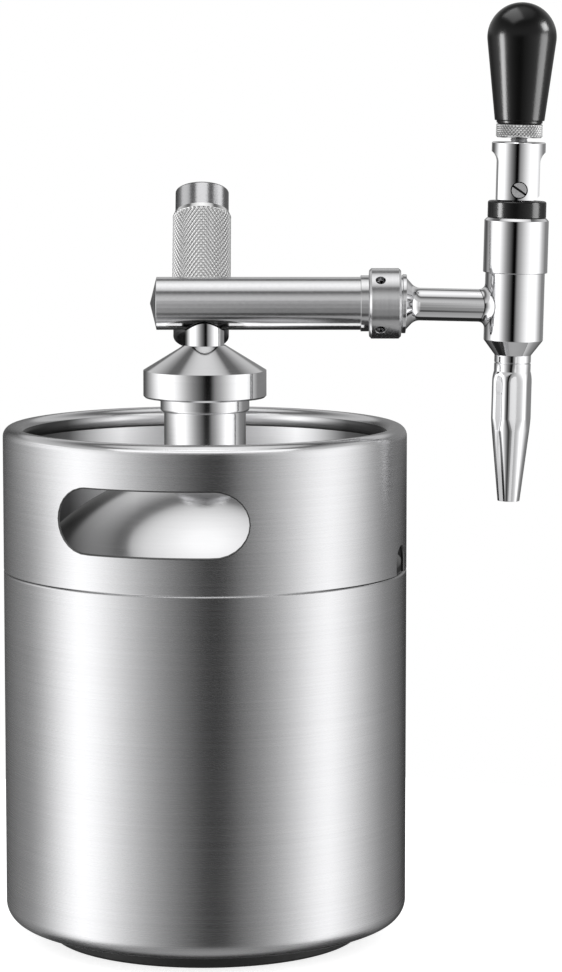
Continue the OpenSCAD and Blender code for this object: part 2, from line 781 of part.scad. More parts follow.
// Tap
module faucet_body() {
  edge = 0.6;
  tail_x = -tap_reach + tail_gap;
  flange_x = nut_end - union_x - tap_reach + flange_gap;
  flare_x = flange_x + tail_flange_h;
  shank_r = shank_d / 2;
  boss_r = 2.4;
  boss_x = -sqrt(barrel_r * barrel_r - pow(shank_r + boss_r, 2));
  steps = 8;
  flare_side = (flare_d / 2 - shank_r - flare_r * (1 - cos(flare_slope))) / tan(flare_slope);
  flare = [
    for (i = [0:steps])
      let (turn = flare_slope * (1 - i / steps))
      [shank_r + flare_r * (1 - cos(turn)),
       flare_x + flare_side + flare_r * (sin(flare_slope) - sin(turn))]
  ];
  boss = [
    for (i = [0:steps])
      let (turn = 90 * i / steps)
      [shank_r + boss_r * (1 - cos(turn)), boss_x - boss_r * (1 - sin(turn))]
  ];
  color(polished) at_tap() difference() {
    union() {
      rotate_extrude() polygon([
        [0, thread_end], [nozzle_thread_d / 2, thread_end], [nozzle_thread_d / 2, cone_z],
        [nozzle_top_d / 2, cone_z], [barrel_r, -barrel_half], [barrel_r, barrel_top - edge],
        [barrel_r - edge, barrel_top], [0, barrel_top]
      ]);
      along_x() rotate_extrude() polygon(concat(
        [[0, tail_x], [tail_d / 2, tail_x], [tail_d / 2, flange_x], [tail_flange_d / 2, flange_x],
         [tail_flange_d / 2, flare_x], [flare_d / 2, flare_x]],
        flare, boss, [[shank_r + boss_r, -barrel_r / 2], [0, -barrel_r / 2]]
      ));
    }
    along_x() translate([0, 0, tail_x - over]) cylinder(d = shank_bore, h = -tail_x + over);
    translate([0, 0, -seat_drop]) cylinder(r = chamber_r, h = barrel_half + seat_drop + over);
    translate([0, 0, barrel_top - bonnet_thread_h])
      cylinder(d = bonnet_thread_d, h = bonnet_thread_h + over);
    translate([0, 0, -barrel_half]) cylinder(d = seat_d, h = barrel_half);
    translate([0, 0, thread_end - over])
      cylinder(d = nozzle_thread_d - 2 * nozzle_thread_wall, h = nozzle_len);
    translate([0, 0, cone_z - 2 * oring_r]) difference() {
      cylinder(d = nozzle_top_d, h = 2 * oring_r);
      translate([0, 0, -over]) cylinder(r = nozzle_thread_d / 2 - oring_r, h = 2 * oring_r + 2 * over);
    }
  }
}

module bonnet() {
  edge = 1.2;
  groove_z = roof_z + bonnet_roof / 2 - oring_r;
  color(polished) at_tap() difference() {
    union() {
      translate([0, 0, barrel_top - bonnet_thread_h])
        cylinder(d = bonnet_thread_d, h = bonnet_thread_h + over);
      chamfer_ring(0, bonnet_d / 2, barrel_top, bonnet_top, edge);
    }
    translate([0, 0, -barrel_half]) cylinder(r = chamber_r, h = roof_z + barrel_half);
    translate([0, 0, barrel_top]) cylinder(r = rod_r + run_gap, h = 2 * bonnet_h);
    translate([0, 0, groove_z]) cylinder(r = rod_r + run_gap + 2 * oring_r, h = 2 * oring_r);
  }
}

module friction_ring() {
  edge = 0.9;
  color(black) at_tap() rotate_extrude() difference() {
    band(rod_r + turn_gap, friction_d / 2, bonnet_top, friction_top);
    corner_waste(friction_d / 2, friction_top, edge, 1, 1);
    corner_waste(friction_d / 2, bonnet_top, edge / 2, 1, -1);
  }
}

module rod_seal() {
  color(black) at_tap() oring(rod_r + run_gap + oring_r, roof_z + bonnet_roof / 2);
}

// One unbroken tube of wire wound from the rod's collar to the bonnet's roof
spring_r = (rod_r + chamber_r) / 2;
spring_low = spring_seat + wire_d / 2 + 2 * run_gap;
spring_rise = roof_z - wire_d / 2 - 2 * run_gap - spring_low;
spring_pitch = spring_rise / spring_turns;
echo(spring_gap = spring_pitch * cos(atan(spring_pitch / (2 * PI * spring_r))) - wire_d);

module valve_spring() {
  sides = 8;
  turn_steps = 16;
  rings = spring_turns * turn_steps;
  slope = atan(spring_pitch / (2 * PI * spring_r));
  points = [
    for (i = [0:rings], j = [0:sides - 1])
      let (turn = 360 * i / turn_steps, side = 360 * j / sides)
      let (out = spring_r + wire_d / 2 * cos(side), rise = wire_d / 2 * sin(side))
      [
        out * cos(turn) + rise * sin(slope) * sin(turn),
        out * sin(turn) - rise * sin(slope) * cos(turn),
        spring_low + spring_rise * i / rings + rise * cos(slope)
      ]
  ];
  walls = [
    for (i = [0:rings - 1], j = [0:sides - 1])
      let (a = i * sides + j, b = i * sides + (j + 1) % sides)
      each [[a, a + sides, b], [b, a + sides, b + sides]]
  ];
  caps = [
    for (j = [1:sides - 2]) each [
      [0, j, j + 1],
      [rings * sides, rings * sides + j + 1, rings * sides + j]
    ]
  ];
  color(steel) at_tap() polyhedron(points, concat(walls, caps));
}

// Rod with a collar for the spring and an eye for the pivot screw
module valve_rod() {
  foot = plug_z + plug_h / 2;
  color(steel) at_tap() difference() {
    union() {
      translate([0, 0, foot]) cylinder(r = rod_r, h = pivot_z - eye_r / 2 - foot);
      translate([0, 0, spring_seat - collar_th]) cylinder(d = collar_d, h = collar_th);
      translate([0, 0, pivot_z]) rotate([90, 0, 0]) cylinder(r = eye_r, h = eye_w, center = true);
    }
    translate([0, 0, pivot_z]) rotate([90, 0, 0])
      cylinder(r = pivot_r + run_gap, h = 2 * rod_d, center = true);
  }
}

module valve_plug() {
  edge = 0.8;
  color(black) at_tap() difference() {
    chamfer_ring(0, plug_d / 2, plug_z, plug_z + plug_h, edge);
    translate([0, 0, plug_z + plug_h / 2]) cylinder(r = rod_r, h = plug_h);
  }
}

// Side view of what is left of the lever's foot, about its pivot: a flat, then a heel that rolls
// on the friction ring and lifts the pivot by cam_lift for each radian, up to the full pull
module heel_outline() {
  low = lever_z - pivot_z;
  high = lever_top - pivot_z + over;
  steps = 12;
  heel = [
    for (i = [0:steps])
      let (turn = lever_pull * i / steps, lift = cam_lift * turn * PI / 180 - low)
      [lift * sin(turn) + cam_lift * cos(turn), -lift * cos(turn) + cam_lift * sin(turn)]
  ];
  polygon(concat(
    [[-lever_d, high], [-lever_d, low]], heel,
    [heel[steps] + lever_d * [cos(lever_pull), sin(lever_pull)], [2 * lever_d, high]]
  ));
}

// Front view of the lever about its pivot: milled sides that curve out to the ears left above them
module side_outline() {
  low = lever_z - pivot_z - over;
  high = lever_top - pivot_z + over;
  curve_z = lever_top - pivot_z - ear_h - ear_r;
  steps = 12;
  curve = [
    for (i = [0:steps])
      let (turn = i / steps * acos(1 - (lever_r + over - lever_w / 2) / ear_r))
      [lever_w / 2 + ear_r * (1 - cos(turn)), curve_z + ear_r * sin(turn)]
  ];
  for (side = [0, 1]) mirror([side, 0])
    polygon(concat([[-over, low], [lever_w / 2, low]], curve, [[curve[steps].x, high], [-over, high]]));
}

// Turned lever with milled sides and a fork for the rod's eye, open on the side to which it is pulled
module lever() {
  low = lever_z - pivot_z;
  high = lever_top - pivot_z;
  rod_room = rod_r + 2 * turn_gap;
  edge = 0.4;
  head_gap = 0.4;
  color(polished) at_tap() translate([0, 0, pivot_z]) difference() {
    intersection() {
      rotate([90, 0, 0]) linear_extrude(2 * lever_d, center = true) intersection() {
        heel_outline();
        side_outline();
      }
      chamfer_ring(0, lever_r, low, high, edge);
    }
    translate([-rod_room, -fork_w / 2, low - over]) cube([rod_room + lever_d, fork_w, over - low]);
    rotate([90, 0, 0]) cylinder(r = eye_r + turn_gap, h = fork_w, center = true);
    translate([0, -fork_w / 2, -over]) cube([lever_d, fork_w, eye_r + over]);
    rotate([90, 0, 0]) cylinder(r = pivot_r, h = 2 * lever_d, center = true);
    translate([0, head_y + pivot_head_h, 0]) rotate([90, 0, 0])
      cylinder(d = pivot_head_d + 2 * head_gap, h = lever_d);
    translate([0, 0, stud_foot - pivot_z]) cylinder(d = stud_d, h = lever_h);
  }
}

module pivot_screw() {
  slot_turn = 34;
  slot = 0.9;
  end_sink = 1;
  color(steel) at_tap() translate([0, 0, pivot_z]) rotate([90, 0, 0]) difference() {
    union() {
      translate([0, 0, -head_y - pivot_head_h]) cylinder(d = pivot_head_d, h = pivot_head_h);
      translate([0, 0, head_y + end_sink]) cylinder(r = pivot_r, h = -2 * head_y - pivot_head_h - end_sink);
    }
    rotate([0, 0, -slot_turn]) translate([-pivot_head_d, -slot / 2, -head_y - slot])
      cube([2 * pivot_head_d, slot, 2 * slot]);
  }
}

// Handle
module lever_stud() {
  color(steel) at_tap() translate([0, 0, stud_foot]) cylinder(d = stud_d, h = stud_top - stud_foot);
}

module jam_nut() {
  edge = 0.7;
  color(polished) at_tap() chamfer_ring(stud_d / 2, jam_d / 2, jam_z, knob_z, edge);
}

// Knob with a straight taper that runs into its round end
module handle_knob() {
  base_r = knob_base_d / 2;
  from = [base_r, knob_z + knob_edge - knob_ball_z];
  turn = atan2(from[1], from[0]) + acos(knob_r / norm(from));
  color(black) at_tap() rotate_extrude() difference() {
    union() {
      intersection() {
        translate([0, knob_ball_z]) circle(r = knob_r);
        translate([0, knob_ball_z + knob_r * sin(turn)]) square(2 * knob_r);
      }
      polygon([
        [0, knob_z], [base_r - knob_edge, knob_z], [base_r, knob_z + knob_edge],
        [knob_r * cos(turn), knob_ball_z + knob_r * sin(turn)], [0, knob_ball_z + knob_r * sin(turn)]
      ]);
    }
    band(-over, insert_d / 2, knob_z - over, knob_z + insert_h);
  }
}

module knob_insert() {
  color("goldenrod") at_tap() difference() {
    translate([0, 0, knob_z]) cylinder(d = insert_d, h = insert_h);
    translate([0, 0, knob_z - over]) cylinder(d = stud_d, h = stud_top - knob_z + over);
  }
}

// Nozzle
module restrictor_disc() {
  color(steel) at_tap() translate([0, 0, disc_z]) difference() {
    cylinder(d = nozzle_thread_d, h = disc_h);
    for (i = [0:disc_holes - 1]) rotate([0, 0, i * 360 / disc_holes])
      translate([nozzle_thread_d / 4, 0, -over]) cylinder(d = disc_hole_d, h = disc_h + 2 * over);
  }
}

module nozzle() {
  groove = 0.5;
  groove_drop = 3;
  groove_z = cone_z - groove_drop;
  top_r = nozzle_top_d / 2;
  thread_r = nozzle_thread_d / 2;
  flat_x = nozzle_d / 2 - flat_cut;
  flat_tip_x = tip_d / 2 - tip_cut;
  flat_join = waist_z - flat_drop;
  flat_slope = (flat_x - flat_tip_x) / (flat_join - nozzle_end);
  steps = 8;
  swell = [
    for (i = [0:steps])
      let (turn = asin(swell_h / swell_r) * (1 - i / steps))
      [nozzle_d / 2 - swell_r * (1 - cos(turn)), swell_end + swell_r * sin(turn)]
  ];
  color(polished) at_tap() difference() {
    rotate_extrude() difference() {
      polygon(concat(
        [[0, cone_z], [top_r, cone_z]], swell,
        [[nozzle_d / 2, waist_z], [tip_d / 2, nozzle_end], [0, nozzle_end]]
      ));
      band(top_r - groove, nozzle_d, groove_z - groove, groove_z);
      band(-over, thread_r, disc_z, cone_z + over);
      band(-over, thread_r + oring_r, cone_z - 2 * oring_r, cone_z + over);
      polygon([
        [-over, disc_z + over], [thread_r - disc_ledge, disc_z + over], [thread_r - disc_ledge, disc_z],
        [tip_bore / 2, nozzle_end], [tip_bore / 2, nozzle_end - over], [-over, nozzle_end - over]
      ]);
    }
    for (i = [0:flat_n - 1]) rotate([0, 0, flat_turn + i * 360 / flat_n])
      rotate([90, 0, 0]) linear_extrude(2 * nozzle_d, center = true) polygon([
        [nozzle_d, groove_z - groove], [flat_x, groove_z - groove], [flat_x, flat_join],
        [flat_tip_x - flat_slope * over, nozzle_end - over], [nozzle_d, nozzle_end - over]
      ]);
  }
}

module nozzle_seal() {
  color(black) at_tap() oring(nozzle_thread_d / 2, cone_z - oring_r);
}

tank_cup();
tank_dome();
neck_spout();
handle_collar();
base_foot();
stem();
neck_gasket();
dip_tube();
dip_tube_seal();
cap_nut();
arm();
snap_ring();
coupling_nut();
shank_washer();
gas_body();
piercing_pin();
piercing_seal();
check_valve();
charger_sleeve();
gas_charger();
faucet_body();
bonnet();
friction_ring();
rod_seal();
valve_spring();
valve_rod();
valve_plug();
lever();
pivot_screw();
lever_stud();
jam_nut();
handle_knob();
knob_insert();
restrictor_disc();
nozzle();
nozzle_seal();
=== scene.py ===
# Nitro cold brew keg: a brushed steel keg with a lift-out dispensing head,
# a gas charger in a knurled sleeve behind the arm, and a stout tap with a cam lever.
import math

import bpy
import numpy as np
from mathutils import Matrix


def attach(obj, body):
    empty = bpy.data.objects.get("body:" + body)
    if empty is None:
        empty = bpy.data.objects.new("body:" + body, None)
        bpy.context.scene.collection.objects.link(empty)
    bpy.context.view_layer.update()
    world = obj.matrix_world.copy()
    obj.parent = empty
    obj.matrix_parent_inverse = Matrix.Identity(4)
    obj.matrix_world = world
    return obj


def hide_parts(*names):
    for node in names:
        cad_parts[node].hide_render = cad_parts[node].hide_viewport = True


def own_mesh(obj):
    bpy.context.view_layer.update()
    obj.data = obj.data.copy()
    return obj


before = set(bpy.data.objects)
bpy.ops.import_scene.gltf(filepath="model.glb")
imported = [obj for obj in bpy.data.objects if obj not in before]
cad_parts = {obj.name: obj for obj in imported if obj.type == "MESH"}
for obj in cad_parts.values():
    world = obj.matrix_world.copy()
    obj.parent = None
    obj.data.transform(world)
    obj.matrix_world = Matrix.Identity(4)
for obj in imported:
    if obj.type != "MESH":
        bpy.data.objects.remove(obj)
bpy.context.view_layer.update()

# Studio: the camera stands 1.5 m in front of the keg, where the photograph was taken.
# The room is white to the camera, an even grey to what is matte, and shaded by height in reflections.
scene = bpy.context.scene
scene.view_settings.view_transform = "Standard"
camera = bpy.data.objects.new("camera", bpy.data.cameras.new("camera"))
camera.data.lens = 134.19
camera.data.sensor_width = 36.0
camera.location = (0.03162, -1.5, 0.3677)
camera.rotation_euler = (math.radians(90 - 6.783), 0, 0)
scene.collection.objects.link(camera)
scene.camera = camera


def joined(tree, *pairs):
    """Links each pair of sockets of a node tree, output first."""
    for source, target in pairs:
        tree.links.new(source, target)


def placed(tree, kind, **values):
    """Adds a node of one kind to a tree and sets its properties."""
    node = tree.nodes.new(kind)
    for key, value in values.items():
        setattr(node, key, value)
    return node


def summed(tree, operation, first, second):
    """Adds a maths node; each operand is a socket or a number."""
    node = placed(tree, "ShaderNodeMath", operation=operation)
    for socket, value in zip(node.inputs, (first, second)):
        if isinstance(value, (int, float)):
            socket.default_value = value
        else:
            tree.links.new(value, socket)
    return node.outputs[0]


def ramp(tree, stops, low, high, factor):
    """Colour ramp through grey levels given at places between low and high along the factor's range."""
    node = placed(tree, "ShaderNodeValToRGB")
    points = node.color_ramp.elements
    for number, (spot, level) in enumerate(stops):
        spot = (spot - low) / (high - low)
        point = points[number] if number < 2 else points.new(spot)
        point.position = spot
        point.color = (level, level, level, 1)
    joined(tree, (factor, node.inputs["Fac"]))
    return node.outputs["Color"]


def mixed(tree, factor, *pair):
    """Mixes two colours by a factor; each of them is a socket or a grey level."""
    node = placed(tree, "ShaderNodeMix", data_type="RGBA")
    joined(tree, (factor, node.inputs["Factor"]))
    for key, value in zip("AB", pair):
        if isinstance(value, (int, float)):
            node.inputs[key].default_value = (value, value, value, 1)
        else:
            joined(tree, (value, node.inputs[key]))
    return node.outputs["Result"]


def eased(tree, value, start, end, first=0.0, last=1.0, kind="SMOOTHSTEP"):
    """Maps a value from start to end on to first to last, and holds it level beyond both."""
    node = placed(tree, "ShaderNodeMapRange", interpolation_type=kind)
    for key, number in (("From Min", start), ("From Max", end), ("To Min", first), ("To Max", last)):
        node.inputs[key].default_value = number
    joined(tree, (value, node.inputs["Value"]))
    return node.outputs[0]


# Brightness of the room in reflections, by height angle in degrees; low down at the back it is dark
ROOF = [(-90, 0.45), (-40, 0.30), (48, 0.12), (57, 0.14), (60, 0.5), (66, 0.76), (77, 1.0), (84, 1.15)]
world = bpy.data.worlds.new("room")
scene.world = world
world.use_nodes = True
world.cycles.sampling_method = "NONE"
tree = world.node_tree
tree.nodes.clear()
look = placed(tree, "ShaderNodeTexCoord")
axes = placed(tree, "ShaderNodeSeparateXYZ")
joined(tree, (look.outputs["Generated"], axes.inputs[0]))
height = summed(tree, "MULTIPLY_ADD", summed(tree, "ARCSINE", axes.outputs["Z"], 0.0), 1 / math.pi)
height.node.inputs[2].default_value = 0.5
path = placed(tree, "ShaderNodeLightPath")
behind = eased(tree, axes.outputs["Y"], 0.05, 0.2)
lowest = summed(tree, "LESS_THAN", axes.outputs["Z"], 0.0)
mirrored = mixed(tree, summed(tree, "MULTIPLY", behind, lowest), ramp(tree, ROOF, -90, 90, height), 0.02)
lit = mixed(tree, path.outputs["Is Glossy Ray"], 0.7, mirrored)
seen = mixed(tree, path.outputs["Is Camera Ray"], lit, 1.0)
ground = placed(tree, "ShaderNodeBackground")
outlet = placed(tree, "ShaderNodeOutputWorld")
joined(tree, (seen, ground.inputs["Color"]), (ground.outputs[0], outlet.inputs["Surface"]))

# Tent: a round screen half a metre away that only reflections see. A soft light at each side and a weak
# one further back brighten it, with a dark gap in front, where the camera looks in, and it is pale grey
# higher up. LOWER is what the keg sees of it, TENT what the tap sees, and UPPER is by height in metres.
TENT_R, TENT_LOW, TENT_HIGH, UPPER_LOW, SIDES = 0.5, -0.35, 0.98, 0.30, 96
BEARINGS = (*range(-180, -120, 15), *range(-120, -9, 10), 0, 4, 11, 15, *range(20, 101, 10), 115, 150, 175)


def backdrop(gap, dimmest, *lights):
    """Brightness at each bearing in degrees: that of the strongest light there, which is its level times the
    negative exponential of the distance from its middle, in widths to that side, to its power. Across the
    gap, given by the four bearings where it starts, is dimmest and ends, all light is dimmed."""
    stops = []
    for bearing in BEARINGS:
        shares = []
        for middle, level, left, right, power in lights:
            off = (bearing - middle + 180) % 360 - 180
            shares.append(level * math.exp(-abs(off / (left if off < 0 else right)) ** power))
        stops.append((bearing, max(shares) * float(np.interp(bearing, gap, (1, dimmest, dimmest, 1)))))
    return stops


LOWER = backdrop(
    (-12, 3, 10, 18), 0.48, (-68, 1.69, 29, 36, 1.5), (68, 1.54, 29, 34, 1.4), (-82, 0.44, 58, 72, 2)
)
TENT = backdrop(
    (-9, 4, 11, 19), 0.02, (-76, 1.56, 42, 42, 2), (77, 1.44, 45, 25, 2), (148, 0.26, 80, 57, 4)
)
UPPER = [(UPPER_LOW, 0.46), (0.47, 0.62), (0.57, 0.57), (0.84, 0.15), (TENT_HIGH, 0.14)]
edge = np.linspace(0, 2 * math.pi, SIDES, endpoint=False)
hoop = np.stack([np.cos(edge), np.sin(edge), 0 * edge], -1)
rows = np.concatenate([hoop * TENT_R + [0, 0, TENT_LOW], hoop * TENT_R + [0, 0, TENT_HIGH]])
low = np.arange(SIDES)
after = (low + 1) % SIDES
tent_mesh = bpy.data.meshes.new("tent")
tent_mesh.from_pydata(rows.tolist(), [], np.stack([low, low + SIDES, after + SIDES, after], -1).tolist())
tent = bpy.data.objects.new("tent", tent_mesh)
tent.visible_camera = tent.visible_diffuse = tent.visible_shadow = tent.visible_transmission = False
scene.collection.objects.link(tent)
screen = bpy.data.materials.new("tent_screen")
screen.use_nodes = True
screen.cycles.emission_sampling = "NONE"
tree = screen.node_tree
tree.nodes.clear()
look = placed(tree, "ShaderNodeTexCoord")
axes = placed(tree, "ShaderNodeSeparateXYZ")
joined(tree, (look.outputs["Object"], axes.inputs[0]))
bearing = summed(tree, "ARCTAN2", axes.outputs["X"], summed(tree, "MULTIPLY", axes.outputs["Y"], -1.0))
bearing = summed(tree, "MULTIPLY_ADD", bearing, 1 / (2 * math.pi))
bearing.node.inputs[2].default_value = 0.5
rise = summed(tree, "SUBTRACT", axes.outputs["Z"], UPPER_LOW)
rise = summed(tree, "DIVIDE", rise, TENT_HIGH - UPPER_LOW)
shine = ramp(tree, LOWER, -180, 180, bearing)
for start, end, above in (
    (0.13, 0.20, ramp(tree, TENT, -180, 180, bearing)),
    (0.39, 0.46, ramp(tree, UPPER, UPPER_LOW, TENT_HIGH, rise)),
):
    shine = mixed(tree, eased(tree, axes.outputs["Z"], start, end), shine, above)
glow = placed(tree, "ShaderNodeEmission")
outlet = placed(tree, "ShaderNodeOutputMaterial")
joined(tree, (shine, glow.inputs["Color"]), (glow.outputs[0], outlet.inputs["Surface"]))
tent_mesh.materials.append(screen)

# Lamps: soft boxes at both sides and a wide one overhead, which light what is matte.
# Each one looks at the middle of the object, and no reflection shows it.


def toward(bearing_deg, rise_deg):
    """Unit vector at a bearing, from the front to the right, and a height angle, both in degrees."""
    side, rise = math.radians(bearing_deg), math.radians(rise_deg)
    return np.array([math.sin(side) * math.cos(rise), -math.cos(side) * math.cos(rise), math.sin(rise)])


def soft_box(name, place, tilt, bearing_deg, size, radiance, seen_by=None):
    """Area lamp at a place, turned to a bearing and tilted down from level. Its power is its radiance times
    pi times its area. With seen_by it lights only that group of pieces, which also mirror it."""
    lamp = bpy.data.objects.new(name, bpy.data.lights.new(name, "AREA"))
    lamp.data.shape = "RECTANGLE"
    lamp.data.size, lamp.data.size_y = size
    lamp.data.energy = radiance * math.pi * size[0] * size[1]
    lamp.location = place
    lamp.rotation_euler = (math.pi / 2 - math.radians(tilt), 0, math.radians(bearing_deg))
    lamp.visible_camera = False
    lamp.visible_glossy = seen_by is not None
    lamp.light_linking.receiver_collection = seen_by
    scene.collection.objects.link(lamp)


AIM = np.array([0.06, 0.0, 0.24])
for name, bearing_deg, rise_deg, reach, size, radiance in (
    ("box_left", -98, 12, 1.25, (0.3, 0.9), 2.3579),
    ("box_right", 72, 20, 1.25, (0.4, 0.6), 1.9894),
    ("box_above", 0, 66, 1.35, (1.1, 0.5), 1.7362),
):
    soft_box(name, AIM + reach * toward(bearing_deg, rise_deg), rise_deg, bearing_deg, size, radiance)

# Floor: a pale matte disc that keeps the shadow under the foot.
# Beyond it the room is the same white.
FLOOR_R = 0.34
floor_mesh = bpy.data.meshes.new("floor")
floor_mesh.from_pydata((hoop * FLOOR_R).tolist(), [], [list(range(SIDES))])
floor = bpy.data.objects.new("floor", floor_mesh)
floor.visible_glossy = False
scene.collection.objects.link(floor)
pale = bpy.data.materials.new("pale_floor")
pale.use_nodes = True
tree = pale.node_tree
tree.nodes.clear()
matte = placed(tree, "ShaderNodeBsdfDiffuse")
matte.inputs["Color"].default_value = (0.82, 0.82, 0.82, 1)
glow = placed(tree, "ShaderNodeEmission")
path = placed(tree, "ShaderNodeLightPath")
joined(tree, (summed(tree, "MULTIPLY", path.outputs["Is Camera Ray"], 0.75), glow.inputs["Strength"]))
both = placed(tree, "ShaderNodeAddShader")
outlet = placed(tree, "ShaderNodeOutputMaterial")
joined(
    tree,
    (matte.outputs[0], both.inputs[0]), (glow.outputs[0], both.inputs[1]),
    (both.outputs[0], outlet.inputs["Surface"]),
)
floor_mesh.materials.append(pale)

# Foot: a moulded disc of black rubber glued under the tank, with a rounded lower edge.
# It widens a little from the table up to the steel.
MM = 0.001
KEG = (np.zeros(3), np.eye(3))


def section(*corners, closed=True, pitch=None):
    """Outline of a turned piece, counter-clockwise in (radius, height): each corner (r, z, rounding) becomes
    an arc that touches both of its sides. Straight sides are cut to steps of pitch. Gives points, outward
    normals and closed."""
    at = np.array([corner[:2] for corner in corners], float)
    points, normals = [], []
    for k, corner in enumerate(corners):
        if not closed and k in (0, len(corners) - 1):
            side = at[1] - at[0] if k == 0 else at[-1] - at[-2]
            side = side / np.linalg.norm(side)
            points.append(at[k][None])
            normals.append(np.array([[side[1], -side[0]]]))
            continue
        back, ahead = at[k - 1] - at[k], at[(k + 1) % len(at)] - at[k]
        long_back, long_ahead = np.linalg.norm(back), np.linalg.norm(ahead)
        back, ahead = back / long_back, ahead / long_ahead
        half = math.acos(np.clip(back @ ahead, -1, 1)) / 2
        rounding = corner[2] if len(corner) > 2 else 0.08
        reach = min(rounding / math.tan(half), 0.49 * min(long_back, long_ahead))
        radius = reach * math.tan(half)
        middle = at[k] + (back + ahead) / np.linalg.norm(back + ahead) * radius / math.sin(half)
        first = math.atan2(*(at[k] + back * reach - middle)[::-1])
        last = math.atan2(*(at[k] + ahead * reach - middle)[::-1])
        sweep = (last - first + math.pi) % (2 * math.pi) - math.pi
        turn = first + sweep * np.linspace(0, 1, 5 + int(min(24, 2 * radius)))
        ray = np.stack([np.cos(turn), np.sin(turn)], -1)
        points.append(middle + radius * ray)
        normals.append(ray if sweep > 0 else -ray)
    points, normals = np.concatenate(points), np.concatenate(normals)
    if pitch:
        ends = np.concatenate([points[1:], points[:1]]) if closed else points[1:]
        steps = np.maximum(1, np.ceil(np.linalg.norm(ends - points[: len(ends)], axis=1) / pitch)).astype(int)
        spot = np.concatenate([k + np.arange(n) / n for k, n in enumerate(steps)])
        if not closed:
            spot = np.append(spot, len(steps))
        lower = np.floor(spot).astype(int) % len(points)
        upper, part = (lower + 1) % len(points), (spot - np.floor(spot))[:, None]
        points, normals = (block[lower] * (1 - part) + block[upper] * part for block in (points, normals))
    return points, normals, closed


def grid(rows, columns, wrap_rows, wrap_columns):
    """Quads of a grid of points: each joins a point to its neighbours one row and one column on."""
    row = np.arange(rows if wrap_rows else rows - 1)[:, None]
    column = np.arange(columns if wrap_columns else columns - 1)[None, :]
    below, beside = (row + 1) % rows, (column + 1) % columns
    row, below = row * columns, below * columns
    return np.stack([row + column, below + column, below + beside, row + beside], -1).reshape(-1, 4)


def made(name, points, faces, seat, normals=None, crease=None):
    """Puts a piece's points (millimetres, in its seat's frame) and faces into a new mesh object."""
    origin, turn = seat
    mesh = bpy.data.meshes.new(name)
    mesh.from_pydata(((points @ turn.T + origin) * MM).tolist(), [], faces)
    mesh.shade_smooth()
    if normals is not None:
        mesh.normals_split_custom_set_from_vertices((normals @ turn.T).tolist())
    if crease:
        mesh.set_sharp_from_angle(angle=math.radians(crease))
    piece = bpy.data.objects.new(name, mesh)
    scene.collection.objects.link(piece)
    return piece


def spun(r, bearing, z):
    """Points at radius r, bearing b and height z: (r sin b, -r cos b, z)."""
    return np.stack([r * np.sin(bearing), -r * np.cos(bearing), z + 0 * bearing], -1)


def marked(piece, cut):
    """Keeps a value at each of a piece's points as the attribute cut: how deep it is cut; on the tap's fillet
    it is instead the weight of painted shade.
    """
    depth = piece.data.attributes.new("cut", "FLOAT", "POINT")
    depth.data.foreach_set("value", cut.astype(np.float32))


def turned(name, outline, seat, steps=160, relief=None, crease=None):
    """Surface of revolution: the outline's point (r, z) goes round all bearings. Relief, if given, changes r
    as a function of r, bearing and z, and what it takes off is marked. A point on the axis closes the end
    as a fan."""
    flat, facing, closed = outline
    bearings = np.linspace(-math.pi, math.pi, steps, endpoint=False)[:, None]
    ends = [k for k in (0, len(flat) - 1) if not closed and flat[k, 0] < 1e-9]
    ring = np.ones(len(flat), bool)
    ring[ends] = False
    r, z = flat[ring, 0][None, :], flat[ring, 1][None, :]
    cut = r + 0 * bearings
    if relief is not None:
        r = relief(r, bearings, z)
    r, z = r + 0 * bearings, z + 0 * bearings
    cut = (cut - r).ravel()
    out, up = facing[ring, 0][None, :], facing[ring, 1][None, :] + 0 * bearings
    points, normals = spun(r, bearings, z).reshape(-1, 3), spun(out, bearings, up).reshape(-1, 3)
    columns = int(ring.sum())
    faces = grid(steps, columns, True, closed).tolist()
    for k in ends:
        rim = np.arange(steps) * columns + (0 if k == 0 else columns - 1)
        after, tip = np.roll(rim, -1), np.full(steps, len(points))
        faces += np.stack([tip, after, rim] if k == 0 else [rim, after, tip], -1).tolist()
        points = np.concatenate([points, [[0, 0, flat[k, 1]]]])
        normals = np.concatenate([normals, [[0, 0, -1.0 if k == 0 else 1.0]]])
        if facing[k, 1] * normals[-1, 2] < 0:
            normals[-1] *= -1
    piece = made(name, points, faces, seat, None if relief is not None else normals, crease)
    if relief is not None:
        marked(piece, np.concatenate([cut, np.zeros(len(points) - len(cut))]))
    return piece


# Surface effect of every material here: fine lines or grain from its making at two scales,
# and broad smudges left by hands
worked = bpy.data.node_groups.new("worked_surface", "ShaderNodeTree")
for key, kind in (
    ("Lines", "NodeSocketVector"), ("Place", "NodeSocketVector"), ("Colour", "NodeSocketColor"),
    ("Shade", "NodeSocketFloat"), ("Roughness", "NodeSocketFloat"), ("Spread", "NodeSocketFloat"),
    ("Smudge", "NodeSocketFloat"),
):
    worked.interface.new_socket(key, in_out="INPUT", socket_type=kind)
for key, kind in (
    ("Colour", "NodeSocketColor"), ("Roughness", "NodeSocketFloat"), ("Height", "NodeSocketFloat"),
):
    worked.interface.new_socket(key, in_out="OUTPUT", socket_type=kind)
given = placed(worked, "NodeGroupInput")
result = placed(worked, "NodeGroupOutput")
noises = []
for source, scale, detail in (("Lines", 1.0, 3.0), ("Lines", 0.22, 2.0), ("Place", 38.0, 4.0)):
    noise = placed(worked, "ShaderNodeTexNoise")
    noise.inputs["Scale"].default_value = scale
    noise.inputs["Detail"].default_value = detail
    joined(worked, (given.outputs[source], noise.inputs["Vector"]))
    noises.append(noise.outputs[0])
fine, broad, cloud = noises
mark = summed(worked, "SUBTRACT", summed(worked, "ADD", fine, broad), 1.0)
smear = summed(worked, "SUBTRACT", cloud, 0.5)
shade = summed(worked, "MULTIPLY_ADD", mark, given.outputs["Shade"])
shade.node.inputs[2].default_value = 1.0
